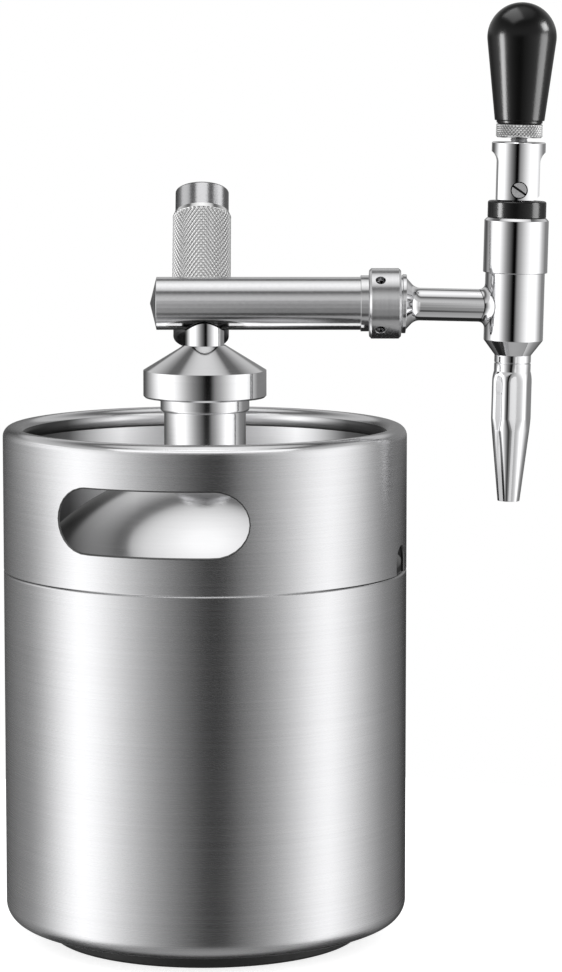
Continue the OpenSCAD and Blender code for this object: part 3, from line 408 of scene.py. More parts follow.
tint = placed(worked, "ShaderNodeVectorMath", operation="SCALE")
rough = summed(worked, "MULTIPLY_ADD", mark, given.outputs["Spread"])
joined(
    worked,
    (given.outputs["Colour"], tint.inputs[0]), (shade, tint.inputs["Scale"]),
    (tint.outputs[0], result.inputs["Colour"]),
    (given.outputs["Roughness"], rough.node.inputs[2]), (mark, result.inputs["Height"]),
)
hazy = summed(worked, "MULTIPLY_ADD", smear, given.outputs["Smudge"])
joined(worked, (rough, hazy.node.inputs[2]), (hazy, result.inputs["Roughness"]))


def scaled_colour(tree, factor):
    """Multiplies the colour that a material's shader has by a factor."""
    colour = tree.nodes["Principled BSDF"].inputs["Base Color"]
    scale = placed(tree, "ShaderNodeVectorMath", operation="SCALE")
    joined(
        tree,
        (colour.links[0].from_socket, scale.inputs[0]), (factor, scale.inputs["Scale"]),
        (scale.outputs[0], colour),
    )


def finish(name, colour, roughness, lines, shade=0.1, spread=0.08, smudge=0.05, bump=0.0,
           metal=1.0, along=None, coat=0.0, gloss=0.5, grooves=0.0):
    """Material of one worked surface. lines is how many marks there are per metre along each axis, and along
    names the axis that the metal was brushed around, which draws out its reflections. gloss is how much a
    plastic reflects, and grooves is the cut at which the painted shade in grooves is darkest."""
    material = bpy.data.materials.new(name)
    material.use_nodes = True
    tree = material.node_tree
    shader = tree.nodes["Principled BSDF"]
    shader.inputs["Metallic"].default_value = metal
    shader.inputs["Coat Weight"].default_value = coat
    shader.inputs["Specular IOR Level"].default_value = gloss
    where = placed(tree, "ShaderNodeTexCoord")
    stretch = placed(tree, "ShaderNodeVectorMath", operation="MULTIPLY")
    stretch.inputs[1].default_value = lines
    effect = placed(tree, "ShaderNodeGroup", node_tree=worked)
    for key, value in (
        ("Colour", (*colour, 1)), ("Shade", shade), ("Roughness", roughness), ("Spread", spread),
        ("Smudge", smudge),
    ):
        effect.inputs[key].default_value = value
    joined(
        tree,
        (where.outputs["Object"], stretch.inputs[0]), (stretch.outputs[0], effect.inputs["Lines"]),
        (where.outputs["Object"], effect.inputs["Place"]),
        (effect.outputs["Colour"], shader.inputs["Base Color"]),
        (effect.outputs["Roughness"], shader.inputs["Roughness"]),
    )
    if bump:
        relief = placed(tree, "ShaderNodeBump")
        relief.inputs["Strength"].default_value = bump
        relief.inputs["Distance"].default_value = 0.0001
        joined(
            tree,
            (effect.outputs["Height"], relief.inputs["Height"]), (relief.outputs[0], shader.inputs["Normal"]),
        )
    if grooves:
        # Painted shade: the colour darkens where the attribute cut is deep, from 0.6 of grooves down to 0.08 at
        # grooves.
        depth = placed(tree, "ShaderNodeAttribute", attribute_name="cut")
        scaled_colour(tree, eased(tree, depth.outputs["Fac"], 0.6 * grooves, grooves, 1.0, 0.08))
    if along:
        brushing = placed(tree, "ShaderNodeTangent", direction_type="RADIAL", axis=along)
        shader.inputs["Anisotropic"].default_value = 0.75
        shader.inputs["Anisotropic Rotation"].default_value = 0.25
        joined(tree, (brushing.outputs[0], shader.inputs["Tangent"]))
    return material


def fitted(piece, material, body, slot, *nodes):
    """Gives a piece its material and its place on a body, in the stead of the nodes that it shows."""
    piece.data.materials.append(material)
    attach(piece, body)
    if nodes:
        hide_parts(*nodes)
    return piece


foot_rubber = finish(
    "foot_rubber", (0.018, 0.018, 0.018), 0.55, (900, 900, 900), 0.5, 0.2, 0.1, 0.25, metal=0.0
)
foot = turned("keg_foot", section((0, 0), (65, 0, 1.75), (66.6, 7, 0.3), (0, 7), closed=False), KEG, 192)
fitted(foot, foot_rubber, "keg", "foot_rubber", "base_foot")

# Tank: a deep-drawn cup of stainless sheet, brushed around, open at the seam.
# Its top edge is rounded and shows as the bright line under the weld seam.
KEG_R, KEG_IN, SHEET = 84.0, 82.5, 1.5
brushed_sheet = finish(
    "brushed_sheet", (0.66, 0.66, 0.67), 0.27, (26, 26, 7000), 0.12, 0.06, 0.04, 0.06, along="Z"
)
tank = turned(
    "keg_tank",
    section((0, 7), (KEG_R, 7, 8), (KEG_R, 155, 0.8), (KEG_IN, 155, 0.3), (KEG_IN, 8.5, 6.5), (0, 8.5),
            closed=False),
    KEG, 256,
)
fitted(tank, brushed_sheet, "keg", "brushed_sheet", "tank_cup")

# Dome: the pressed top of the tank, welded inside the collar, with a ledge that drains outwards.
# It is the pale surface seen through the hand slots, with painted shade in its colour at both sides, where the
# collar shades it.


def painted_shade(material, axis, clear, dark, level):
    """Paints shade into a material's colour: dims it by the distance from the middle along one axis, full as
    far as clear and falling in a straight line to level at dark."""
    tree = material.node_tree
    where = placed(tree, "ShaderNodeTexCoord")
    axes = placed(tree, "ShaderNodeSeparateXYZ")
    joined(tree, (where.outputs["Object"], axes.inputs[0]))
    distance = summed(tree, "ABSOLUTE", axes.outputs[axis], 0.0)
    scaled_colour(tree, eased(tree, distance, clear, dark, 1.0, level, "LINEAR"))


DOME_R, LEDGE_R, LEDGE_Z, NECK_R = 92.0, 73.5, 160, 17
DOME_Z = LEDGE_Z - math.sqrt(DOME_R**2 - LEDGE_R**2)
brow = np.linspace(math.asin(LEDGE_R / DOME_R), math.asin(NECK_R / DOME_R), 60)
crown = np.stack([np.sin(brow), np.cos(brow)], -1)
ledge = section(
    (81, 149), (KEG_IN, 149, 0.2), (KEG_IN, LEDGE_Z, 3), (LEDGE_R, LEDGE_Z, 0.1), closed=False
)
dome_points = np.concatenate([
    ledge[0][:-1], crown * DOME_R + [0, DOME_Z], crown[::-1] * (DOME_R - SHEET) + [0, DOME_Z],
])
dome_normals = np.concatenate([ledge[1][:-1], crown, -crown[::-1]])
dome_sheet = finish("dome_sheet", (0.86, 0.86, 0.87), 0.15, (60, 60, 2400), 0.05, 0.04, 0.03, 0.03)
# Painted shade: the dome's colour darkens towards both sides, standing in for the collar's shade there.
painted_shade(dome_sheet, "X", 0.028, 0.055, 0.07)
dome = turned("keg_dome", (dome_points, dome_normals, True), KEG, 192)
fitted(dome, dome_sheet, "keg", "brushed_sheet", "tank_dome")

# Collar: a ring of the same sheet with two hand slots and two drain arches punched through it.
# Its upper edge is rolled inwards to a round, polished rim, and the punched edges are dark with painted shade.
COLLAR_LOW, COLLAR_HIGH, SLOT_Z = 155.6, 204.0, 183.4


def slot_edge(c, z, half, radius):
    """Where a ray from a round-ended slot's middle towards (c, z) meets its outline: on a straight side where
    the ray leaves there, else on the round end. Gives the point and the outline's normal there."""
    length = np.hypot(c, z)
    u, w = c / length, z / length
    straight = radius / np.maximum(np.abs(w), 1e-9)
    side = straight * np.abs(u) <= half
    rounded = half * np.abs(u) + np.sqrt(np.maximum(radius**2 - (half * w) ** 2, 0))
    reach = np.where(side, straight, rounded)
    p, q = reach * u, reach * w
    return p, q, np.where(side, 0, (p - np.sign(u) * half) / radius), np.where(side, np.sign(w), q / radius)


def pierced_wall(outer, inner, low, high, holes, rows=14, rings=7, lip=0.65, step_deg=2.0):
    """Wall of a tube with holes punched straight through it. A hole is (bearing, half width of its patch in
    degrees, height of its middle, half its straight length, its radius, whether it stands open at the lower
    edge). Each patch is a grid of rays from its hole's edge to the patch's border, on both faces and round
    the rounded edge; plain grids fill the rest. Gives points, normals, faces and the bearings along the
    upper edge."""
    heights = np.linspace(low, high, rows + 1)
    points, normals, faces, crest = [], [], [], []

    def add(p, n, quads):
        faces.append(quads + sum(len(block) for block in points))
        points.append(p.reshape(-1, 3))
        normals.append(n.reshape(-1, 3))

    holes = sorted(holes)
    for k, (bearing, width, middle, half, radius, arch) in enumerate(holes):
        b, w = math.radians(bearing), math.radians(width)
        level = np.linspace(-w, w, int(width * 1.1) + 5)
        base = np.stack([level, np.full(len(level), low)], -1)[1:-1]
        top = np.stack([level[::-1], np.full(len(level), high)], -1)[1:-1]
        left = np.stack([np.full(rows + 1, -w), heights], -1)
        right = np.stack([np.full(rows + 1, w), heights], -1)
        border = np.concatenate([base[:0] if arch else base, right, top, left[::-1]])
        crest.append(b + level[:-1])
        columns, facing = [], []
        tilt = np.radians([0, 30, 60, 90])
        for face, away in ((outer, 1), (inner, -1)):
            c, z = face * np.sin(border[:, 0]), border[:, 1] - middle
            if arch:
                q, p, nz, nc = slot_edge(z, c, half, radius)
            else:
                p, q, nc, nz = slot_edge(c, z, half, radius)
            edge, norm = np.stack([p, q], -1), np.stack([nc, nz], -1)
            start = edge + norm * lip
            parts = np.linspace(1, 0, rings + 1)[:, None, None]
            spread = start + (np.stack([c, z], -1) - start) * parts
            curl = edge + norm * (lip * (1 - np.sin(tilt[1:])))[:, None, None]
            deep = np.concatenate([np.zeros(rings + 1), lip * (1 - np.cos(tilt[1:]))])
            lean = np.concatenate([np.zeros(rings + 1), tilt[1:]])
            flat = np.concatenate([spread, curl])
            if away < 0:
                flat, deep, lean = flat[::-1], deep[::-1], lean[::-1]
            r = (face - away * deep)[:, None]
            turn = b + np.arcsin(np.clip(flat[..., 0] / r, -1, 1))
            columns.append(spun(r, turn, flat[..., 1] + middle))
            chord = np.array([math.cos(b), math.sin(b), 0])
            inward = -(norm[None, :, :1] * chord + norm[None, :, 1:] * np.array([0, 0, 1.0]))
            lean = lean[:, None, None]
            facing.append(away * spun(1.0, turn, 0.0) * np.cos(lean) + inward * np.sin(lean))
        p = np.concatenate(columns).transpose(1, 0, 2)
        n = np.concatenate(facing).transpose(1, 0, 2)
        add(p, n, grid(p.shape[0], p.shape[1], not arch, False))
        after = holes[(k + 1) % len(holes)]
        start, end = b + w, math.radians(after[0] - after[1]) + (2 * math.pi if k == len(holes) - 1 else 0)
        plain = np.linspace(start, end, max(2, int(math.degrees(end - start) / step_deg) + 1))
        crest.append(plain[:-1])
        for face, away in ((outer, 1), (inner, -1)):
            turn = plain[:, None] + 0 * heights[None, :]
            quads = grid(len(plain), rows + 1, False, False)
            add(spun(face, turn, heights), away * spun(1.0, turn, 0.0), quads if away > 0 else quads[:, ::-1])
        for turns, shut in ((plain, True), (b + level, not arch)):
            if shut:
                rim = np.stack([spun(r, turns, low) for r in (inner, outer)], 1)
                add(rim, np.tile([0, 0, -1.0], (len(turns), 2, 1)), grid(len(turns), 2, False, False))
    return np.concatenate(points), np.concatenate(normals), np.concatenate(faces), np.concatenate(crest)


wall_points, wall_normals, wall_faces, crest = pierced_wall(
    KEG_R, KEG_IN, COLLAR_LOW, COLLAR_HIGH,
    [(turn, 34, SLOT_Z, 26.5, 13, False) for turn in (-15, 165)]
    + [(turn, 9, COLLAR_LOW, 4.9, 6.3, True) for turn in (75, -105)],
)
RIM_R, RIM_Z, RIM_MID = 4.2, 210.8, 79.8
roll = np.linspace(0, 1.5 * math.pi, 40)
curl = np.stack([np.cos(roll), np.sin(roll)], -1)
rim_flat = np.concatenate([
    [[KEG_R, COLLAR_HIGH]], curl * RIM_R + [RIM_MID, RIM_Z],
    curl[::-1] * (RIM_R - SHEET) + [RIM_MID, RIM_Z], [[KEG_IN, COLLAR_HIGH]],
])
rim_face = np.concatenate([[[1, 0]], curl, -curl[::-1], [[-1, 0]]])
turns = crest[:, None]
rim_points = spun(rim_flat[:, 0], turns, rim_flat[:, 1])
rim_normals = spun(rim_face[:, 0], turns, rim_face[:, 1])
collar_points = np.concatenate([wall_points, rim_points.reshape(-1, 3)])
collar_normals = np.concatenate([wall_normals, rim_normals.reshape(-1, 3)])
rim_quads = grid(len(crest), len(rim_flat), True, False)
collar_faces = np.concatenate([wall_faces, rim_quads + len(wall_points)])
key = np.round(np.concatenate([collar_points * 1e3, collar_normals * 4], 1)).astype(np.int64)
_, first, alike = np.unique(key, axis=0, return_index=True, return_inverse=True)
collar_faces = alike.reshape(-1)[collar_faces]
collar = made("keg_collar", collar_points[first], collar_faces.tolist(), KEG, collar_normals[first])
fitted(collar, brushed_sheet, "keg", "brushed_sheet", "handle_collar")
collar_inside = finish("collar_inside", (0.84, 0.84, 0.85), 0.30, (60, 60, 2400), 0.1, 0.06, 0.04, 0.03)
# Painted shade: the inside of the collar darkens in colour towards both sides, standing in for the shade there.
painted_shade(collar_inside, "X", 0.038, 0.060, 0.15)
rim_steel = finish("rim_steel", (0.74, 0.74, 0.75), 0.16, (40, 40, 2400), 0.08, 0.06, 0.04, 0.04)
# Painted shade: the punched edges get a near-black colour that stands in for the shade along them.
painted_edge_shade = finish("painted_edge_shade", (0.12, 0.12, 0.12), 0.35, (300, 300, 300), 0.2, 0.1, 0.05)
for material in (collar_inside, rim_steel, painted_edge_shade):
    collar.data.materials.append(material)
INSIDE_R, POLISH_Z, EDGE_FACING, EDGE_LOW = 83.0, RIM_Z + 1.5, 0.98, COLLAR_LOW + 0.3
middles = collar_points[first][collar_faces].mean(1)
facing = collar_normals[first][collar_faces].mean(1)
away, level = np.hypot(middles[:, 0], middles[:, 1]), middles[:, 2]
outward = (facing[:, :2] * middles[:, :2]).sum(1) / away
punched = (np.abs(outward) < EDGE_FACING) & (level > EDGE_LOW) & (level < COLLAR_HIGH)
kinds = np.where(level > POLISH_Z, 2, np.where(punched, 3, away < INSIDE_R))
collar.data.polygons.foreach_set("material_index", kinds.astype(np.int32))
collar.visible_glossy = False

# Neck: a turned tube welded through the dome, with a bead under the cap nut.
# A coarse thread is cut above the bead, and the bore is open into the tank.
polished_steel = finish("polished_steel", (0.80, 0.80, 0.81), 0.10, (30, 30, 3600), 0.05, 0.05, 0.05, 0.03)


def neck_thread(r, bearing, z):
    """Thread on the neck: a round-crested helix of 2 mm pitch that fades out at both ends."""
    crest = 0.5 + 0.5 * np.cos(2 * math.pi * (z / 2.0 - bearing / (2 * math.pi)))
    fade = np.clip((z - 226.5) / 0.8, 0, 1) * np.clip((233.6 - z) / 0.8, 0, 1)
    return r - np.where((r > 16.5) & (r < 17.1), 0.55 * fade * (1 - crest), 0)


neck = turned(
    "keg_neck",
    section((14, 191.2, 0.3), (NECK_R, 191.2, 0.3), (NECK_R, 221, 0.3), (18.5, 221, 1.4),
            (18.5, 226.2, 0.5), (NECK_R, 226.2, 0.2), (NECK_R, 234, 0.4), (14, 234, 0.4), pitch=0.25),
    KEG, 128, neck_thread, 40,
)
fitted(neck, polished_steel, "keg", "polished_steel", "neck_spout")

# Stem: a turned spindle with a clamped flange, which carries the arm on its top.
# The dip tube is pushed into its lower end over an O-ring, and a gasket seals the flange.
STEM_R = 8
stem = turned(
    "head_stem",
    section((4.75, 220.5, 0.2), (10, 220.5, 0.5), (10, 236.5, 0.2), (16.7, 236.5, 0.3), (16.7, 240, 0.3),
            (STEM_R, 240, 0.2), (STEM_R, 259, 0.1), (3.5, 259, 0.1), (3.5, 231.5, 0.1), (4.75, 231.5, 0.1)),
    KEG, 160,
)
fitted(stem, polished_steel, "head", "polished_steel", "stem")
plain_steel = finish("plain_steel", (0.58, 0.58, 0.59), 0.24, (70, 70, 3000), 0.12, 0.1, 0.05, 0.05)
dip = turned("head_dip_tube", section((3.5, 14.5), (4.75, 14.5, 0.2), (4.75, 231.5), (3.5, 231.5)), KEG, 64)
fitted(dip, plain_steel, "head", "plain_steel", "dip_tube")

# Weld: the thin bead where the stem meets the round underside of the arm.
# It follows the line along which the two round walls cross.
ARM_Z, ARM_R = 265.5, 10.95
swing = np.linspace(0, 2 * math.pi, 160, endpoint=False)
bead_x, bead_y = STEM_R * np.cos(swing), STEM_R * np.sin(swing)
bead_line = np.stack([bead_x, bead_y, ARM_Z - np.sqrt(ARM_R**2 - bead_y**2)], -1)


def tube(name, line, radius, seat, sides=12, closed=True, axis=(0, 0, 1.0)):
    """Round tube along a line of points: each ring lies across the line's direction there, which is never
    that of the axis that the line goes round."""
    ahead = np.roll(line, -1, 0) - np.roll(line, 1, 0) if closed else np.gradient(line, axis=0)
    ahead = ahead / np.linalg.norm(ahead, axis=1, keepdims=True)
    across = np.cross(ahead, axis)
    across = across / np.linalg.norm(across, axis=1, keepdims=True)
    upward = np.cross(across, ahead)
    turn = np.linspace(0, 2 * math.pi, sides, endpoint=False)[None, :, None]
    normals = across[:, None] * np.cos(turn) + upward[:, None] * np.sin(turn)
    points = line[:, None] + radius * normals
    faces = grid(len(line), sides, closed, True)[:, ::-1].tolist()
    if not closed:
        faces += [list(range(sides)), list(range(len(line) * sides - 1, (len(line) - 1) * sides - 1, -1))]
    return made(name, points.reshape(-1, 3), faces, seat, normals.reshape(-1, 3) if closed else None)


weld = tube("head_weld", bead_line, 0.35, KEG)
fitted(weld, polished_steel, "head", "polished_steel")

# Cap nut: a turned nut with a plain band and a steep cone, screwed over the neck's thread.
# It clamps the stem's flange and turns freely on the stem.
cap = turned(
    "cap_nut_body",
    section((17.3, 226.5, 0.2), (24.8, 226.5, 0.15), (25.6, 227.3, 0.15), (25.6, 237.8, 0.3),
            (8.65, 248.2, 0.15), (8.3, 248.2, 0.1), (8.3, 240, 0.1), (17.3, 240, 0.2)),
    KEG, 224,
)
fitted(cap, polished_steel, "cap_nut", "polished_steel", "cap_nut")
cap.visible_glossy = stem.visible_glossy = False

# Arm: a thick bar with a shallow pointed end, bored for the drink, welded across the stem.
# A shoulder ring stops the coupling nut. Its front has a fine satin finish.
ARM = (np.array([0, 0, ARM_Z]), np.array([[0, 0, 1.0], [0, 1, 0], [-1, 0, 0]]))
satin_steel = finish("satin_steel", (0.80, 0.80, 0.81), 0.15, (2600, 2600, 2600), 0.10, 0.05, 0.03, 0.04)
arm = turned(
    "head_arm",
    section((0, -22.7), (ARM_R, -20, 0.25), (ARM_R, 64.6, 0.1), (11.6, 64.6, 0.15), (11.6, 68, 0.2),
            (8.6, 68, 0.15), (8.6, 74.35, 0.3), (6, 74.35, 0.2), (6, -7.5, 0.3), (0, -7.5), closed=False),
    ARM, 192,
)
fitted(arm, satin_steel, "head", "polished_steel", "arm")
arm.visible_glossy = False

# Coupling nut: a round nut with four holes for a pin spanner, which pulls the tap against the arm.
# It turns on the arm's end, held by a snap ring inside.
NUT_R, NUT_IN, NUT_LEFT, NUT_RIGHT = 14.6, 12.0, 69.05, 80.35
nut_points, nut_normals, nut_faces, crest = pierced_wall(
    NUT_R, NUT_IN, NUT_LEFT, NUT_RIGHT, [(turn, 24, 72.65, 0, 2, False) for turn in (-135, -45, 45, 135)],
    rows=20, rings=6, lip=0.2,
)
nut_steel = finish("nut_steel", (0.76, 0.76, 0.77), 0.20, (5200, 40, 40), 0.14, 0.06, 0.03, 0.05)
nut_wall = made("nut_band", nut_points, nut_faces.tolist(), ARM, nut_normals)
nut_left = turned(
    "nut_lip",
    section((NUT_IN, 72.15), (8.9, 72.15, 0.2), (8.9, 68.15, 0.2), (13.7, 68.15, 0.1), (NUT_R, NUT_LEFT),
            closed=False),
    ARM, 160,
)
nut_right = turned(
    "nut_end",
    section((NUT_R, NUT_RIGHT), (13.7, 81.25, 0.1), (NUT_IN, 81.25, 0.2), (NUT_IN, NUT_RIGHT), closed=False),
    ARM, 160,
)
for piece in (nut_wall, nut_left, nut_right):
    fitted(piece, nut_steel, "coupling_nut", "polished_steel", "coupling_nut")

# Gas body: a black anodised socket on the back of the arm, with a spigot into it.
# The charger's neck is pushed on to the pin in its floor, and the sleeve screws over its thread.
lean = math.radians(26)
lay = np.array([[1, 0, 0], [0, math.cos(lean), math.sin(lean)], [0, -math.sin(lean), math.cos(lean)]])
CHARGER = (lay @ np.array([-2, 25.4, -6.4]) + [0, 0, ARM_Z], lay)
SPIGOT = (CHARGER[0] + lay @ np.array([0, 0, 6.4]), lay @ np.array([[1, 0, 0], [0, 0, -1.0], [0, 1, 0]]))
dark_alloy = finish(
    "dark_alloy", (0.035, 0.035, 0.038), 0.22, (900, 900, 900), 0.2, 0.08, 0.06, metal=0.6, coat=0.3
)
socket = turned(
    "gas_socket",
    section((0, 0), (11.7, 0, 2), (11.7, 11.2, 0.3), (10.4, 11.2, 0.1), (10.4, 19.2, 0.4), (9.3, 19.2, 0.2),
            (9.3, 10, 0.2), (4.8, 10, 0.2), (4.8, 2.4, 0.2), (0, 2.4), closed=False),
    CHARGER, 128,
)
spigot = turned(
    "gas_spigot", section((0, 6), (4.3, 6, 0.2), (4.3, 16.9, 0.2), (0, 16.9), closed=False), SPIGOT, 64
)
for piece in (socket, spigot):
    fitted(piece, dark_alloy, "head", "dark_alloy", "gas_body")

# Charger sleeve: a steel tube with a fine diamond knurl, a plain polished band and a closed round end.
# It screws down over the gas body and presses the charger on to the pin.
KNURL_LOW, KNURL_HIGH = 11.5, 58.0


def knurl(around, pitch, depth, low, high, fade):
    """Diamond knurl: two sets of helical grooves cross, and the height is that of the nearer groove's flank.
    It fades out at both ends."""
    def relief(r, bearing, z):
        lead, turn = z / pitch, around * bearing / (2 * math.pi)
        flank = [1 - 2 * np.abs((turn + sign * lead) % 1 - 0.5) for sign in (1, -1)]
        cut = depth * np.maximum(*flank) ** 1.6
        return r - cut * np.clip((z - low) / fade, 0, 1) * np.clip((high - z) / fade, 0, 1)
    return relief


GROOVE = 0.45
# Painted shade darkens the knurl's grooves in this material's colour.
knurled_steel = finish(
    "knurled_steel", (0.86, 0.86, 0.86), 0.13, (700, 700, 700), 0.1, 0.06, 0.05, grooves=GROOVE
)
grip = turned(
    "sleeve_grip",
    section((11.9, KNURL_LOW), (12.4, 12.0, 0.1), (12.4, 56.1, 0.1), (11.62, KNURL_HIGH),
            closed=False, pitch=0.25),
    CHARGER, 440, knurl(44, 2.32, GROOVE, 12.1, 56.1, 0.3), 50,
)
fitted(grip, knurled_steel, "charger", "polished_steel", "charger_sleeve")
shell = turned(
    "sleeve_band",
    section((11.62, KNURL_HIGH), (11.35, KNURL_HIGH, 0.1), (11.35, 68, 0.8), (0, 68), closed=False),
    CHARGER, 160,
)
inside = turned(
    "sleeve_bore",
    section((0, 66.6), (9.3, 66.6, 0.3), (9.3, 19.5, 0.1), (10.7, 19.5, 0.1), (10.7, KNURL_LOW, 0.2),
            (11.9, KNURL_LOW), closed=False),
    CHARGER, 128,
)
band_steel = finish("band_steel", (0.28, 0.28, 0.285), 0.26, (30, 30, 3600), 0.08, 0.05, 0.05, 0.03)
for piece, material in ((shell, band_steel), (inside, polished_steel)):
    fitted(piece, material, "charger", "polished_steel", "charger_sleeve")

# Gas charger: a drawn steel capsule of the standard size, with a narrow sealed neck.
# It lies inside the sleeve and comes out with it.
charger_zinc = finish("charger_zinc", (0.60, 0.60, 0.62), 0.32, (300, 300, 300), 0.15, 0.12, 0.1, 0.05)
capsule = turned(
    "charger_capsule",
    section((0, 3.6), (4.5, 3.6, 0.5), (4.5, 10.6, 0.4), (9, 12.5, 3.4), (9, 66.6, 4), (0, 66.6), closed=False),
    CHARGER, 96,
)
fitted(capsule, charger_zinc, "charger", "charger_shell", "gas_charger")

# Tap: the polished barrel, with a shank that flares at both ends, turned from one casting.
# The barrel narrows to a cone above the nozzle, and leans a little away from the keg.
# A fillet joins the shank to it, with painted shade along both of its edges.
tilt = math.radians(1.25)
hang = np.array([[math.cos(tilt), 0, math.sin(tilt)], [0, 1, 0], [-math.sin(tilt), 0, math.cos(tilt)]])
TAP = (hang @ np.array([52.9, 0, 0]) + [75.35, 0, ARM_Z], hang)
SHANK = (TAP[0], hang @ ARM[1])
BARREL_R, SHANK_R, CONE_Z, FILLET, TURNS, BENDS = 12.3, 6.75, -20.2, 2.4, 160, 12
CHROME = ((0.84, 0.84, 0.85), 0.05, (40, 40, 2400), 0.03, 0.03, 0.04)
tap_chrome = finish("tap_chrome", *CHROME)
barrel = turned(
    "tap_barrel",
    section((0, -29.2), (5.5, -29.2, 0.2), (5.5, CONE_Z, 0.1), (7.6, CONE_Z, 0.15), (BARREL_R, -14, 0.5),
            (BARREL_R, 14, 0.3), (0, 14), closed=False),
    TAP, 192,
)
tail = turned(
    "tap_shank",
    section((0, -52.71), (11.7, -52.71, 0.6), (11.7, -46.53, 0.1), (12.2, -46.53, 0.25), (12.2, -44.83, 0.25),
            (10.8, -44.83, 0.15), (SHANK_R, -41.18, 5), (SHANK_R, -6), (0, -6), closed=False),
    SHANK, 160,
)
bend, around = np.meshgrid(
    np.linspace(0, math.pi / 2, BENDS), np.linspace(-math.pi, math.pi, TURNS, endpoint=False)
)
far = SHANK_R + FILLET * (1 - np.cos(bend))
beside = far * np.sin(around)
behind = -np.sqrt(BARREL_R**2 - beside**2) - FILLET * (1 - np.sin(bend))
saddle = made(
    "tap_fillet", np.stack([behind, beside, far * np.cos(around)], -1).reshape(-1, 3),
    grid(TURNS, BENDS, True, False)[:, ::-1].tolist(), TAP,
)
# Painted shade: on the fillet the attribute cut is no depth but a weight, 1 at both edges, that darkens its
# colour there.
marked(saddle, np.abs(4 * bend / math.pi - 1).ravel())
fillet_chrome = finish("fillet_chrome", *CHROME, grooves=1.0)
for piece, material in ((barrel, tap_chrome), (tail, tap_chrome), (saddle, fillet_chrome)):
    fitted(piece, material, "head", "polished_steel", "faucet_body")

# Cards: soft boxes that one group of pieces sees and nothing else. Three in front of the arm, the coupling
# nut and the shank and two under the arm draw bright bands along them, and others light the knurl from
# above, the sleeve's plain band from three sides and the collar's rim.


def group(name, *pieces):
    """Collection of the pieces that a soft box is for."""
    collection = bpy.data.collections.new(name)
    for piece in pieces:
        collection.objects.link(piece)
    return collection


level_steel = group("level_steel", arm, nut_wall, nut_left, nut_right, tail)
leaning_steel, plain_band = group("leaning_steel", grip), group("plain_band", shell)
rolled_steel = group("rolled_steel", collar)
soft_box("card_high", (0.06, -0.42, 0.345), 0, 0, (0.40, 0.13), 0.38, level_steel)
soft_box("card_middle", (0.06, -0.42, 0.215), 0, 0, (0.40, 0.13), 0.29, level_steel)
soft_box("card_low", (0.06, -0.42, 0.045), 0, 0, (0.40, 0.21), 0.17, level_steel)
soft_box("card_under", (0.038, -0.0057, 0.2504), -90, 0, (0.056, 0.0033), 1.0, level_steel)
soft_box("card_under_end", (-0.0155, -0.0057, 0.2504), -90, 0, (0.012, 0.0033), 1.0, level_steel)
soft_box("card_above", (-0.002, -0.207, 0.636), 50, 0, (0.36, 0.20), 0.8, leaning_steel)
soft_box("card_band", (-0.002, -0.207, 0.636), 50, 0, (0.36, 0.20), 2.7, plain_band)
soft_box("card_band_left", (-0.259, 0.039, 0.448), 27.5, -90, (0.20, 0.15), 1.4, plain_band)
soft_box("card_band_right", (0.255, 0.039, 0.448), 27.5, 90, (0.20, 0.15), 2.2, plain_band)
soft_box("card_rim", (0.0, -0.30, 0.50), 53, 0, (0.76, 0.25), 0.8, rolled_steel)

# Bonnet: the upper half of the tap, screwed into the barrel; the valve rod runs through its roof.
# A gloss black friction ring sits on it under the lever.
bonnet = turned(
    "tap_bonnet",
    section((3.05, 14, 0.05), (13.3, 14, 0.3), (13.3, 35.5, 0.3), (12.2, 36.6, 0.25), (3.05, 36.6, 0.05)),
    TAP, 192,
)
fitted(bonnet, tap_chrome, "head", "polished_steel", "bonnet")
ring_plastic = finish(
    "ring_plastic", (0.004, 0.004, 0.004), 0.20, (1200, 1200, 1200), 0.3, 0.02, 0.04, metal=0.0, gloss=0.25
)
ring = turned(
    "tap_friction_ring",
    section((3.3, 36.6, 0.1), (12.1, 36.6, 0.45), (12.1, 43.6, 0.9), (3.3, 43.6, 0.1)),
    TAP, 160,
)
fitted(ring, ring_plastic, "head", "ring_plastic", "friction_ring")

# Valve: a rod with an eye at its top and a rubber plug at its foot, pressed on to its seat by a spring.
# The spring is one length of wire wound between the rod's collar and the bonnet's roof.
COILS, COIL_R, WIRE_R, COIL_LOW, COIL_RISE = 5, 5.25, 0.6, 15.7, 12.6
coil = np.linspace(0, COILS * 2 * math.pi, COILS * 40 + 1)
climb = COIL_LOW + COIL_RISE * coil / coil[-1]
coil_line = np.stack([COIL_R * np.cos(coil), COIL_R * np.sin(coil), climb], -1)
spring = tube("valve_coil", coil_line, WIRE_R, TAP, 12, False)
fitted(spring, plain_steel, "head", "plain_steel", "valve_spring")
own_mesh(spring)

# Lever: its pivot is a slotted screw through the fork, in a gap whose shade is painted, and a stud in its top
# carries the handle.
# The forked lever itself keeps its shape and comes with the carried-over parts below.
screw_steel = finish("screw_steel", (0.80, 0.80, 0.81), 0.46, (900, 900, 900), 0.3, 0.1, 0.1, 0.1)
# Painted shade: the screw's colour is nearly black behind the face of its head, in its slot.
painted_shade(screw_steel, "Y", 0.0105, 0.0104, 0.03)
PIVOT = np.array([129.291, 0, 312.634])
# Painted shade: a thin dark tube in the counterbore stands in for the shadow of the gap round the screw's head.
SHADE_RING_R, SHADE_RING_Y, SHADE_RING_HALF = 3.3, -10.55, 0.24
shade_ring_line = np.stack([SHADE_RING_R * np.cos(swing), SHADE_RING_Y + 0 * swing, SHADE_RING_R * np.sin(swing)], -1)
pivot_shade_ring = tube("pivot_shade_ring", shade_ring_line + PIVOT, SHADE_RING_HALF, KEG, axis=(0, 1.0, 0))
fitted(pivot_shade_ring, dark_alloy, "lever", "dark_alloy")


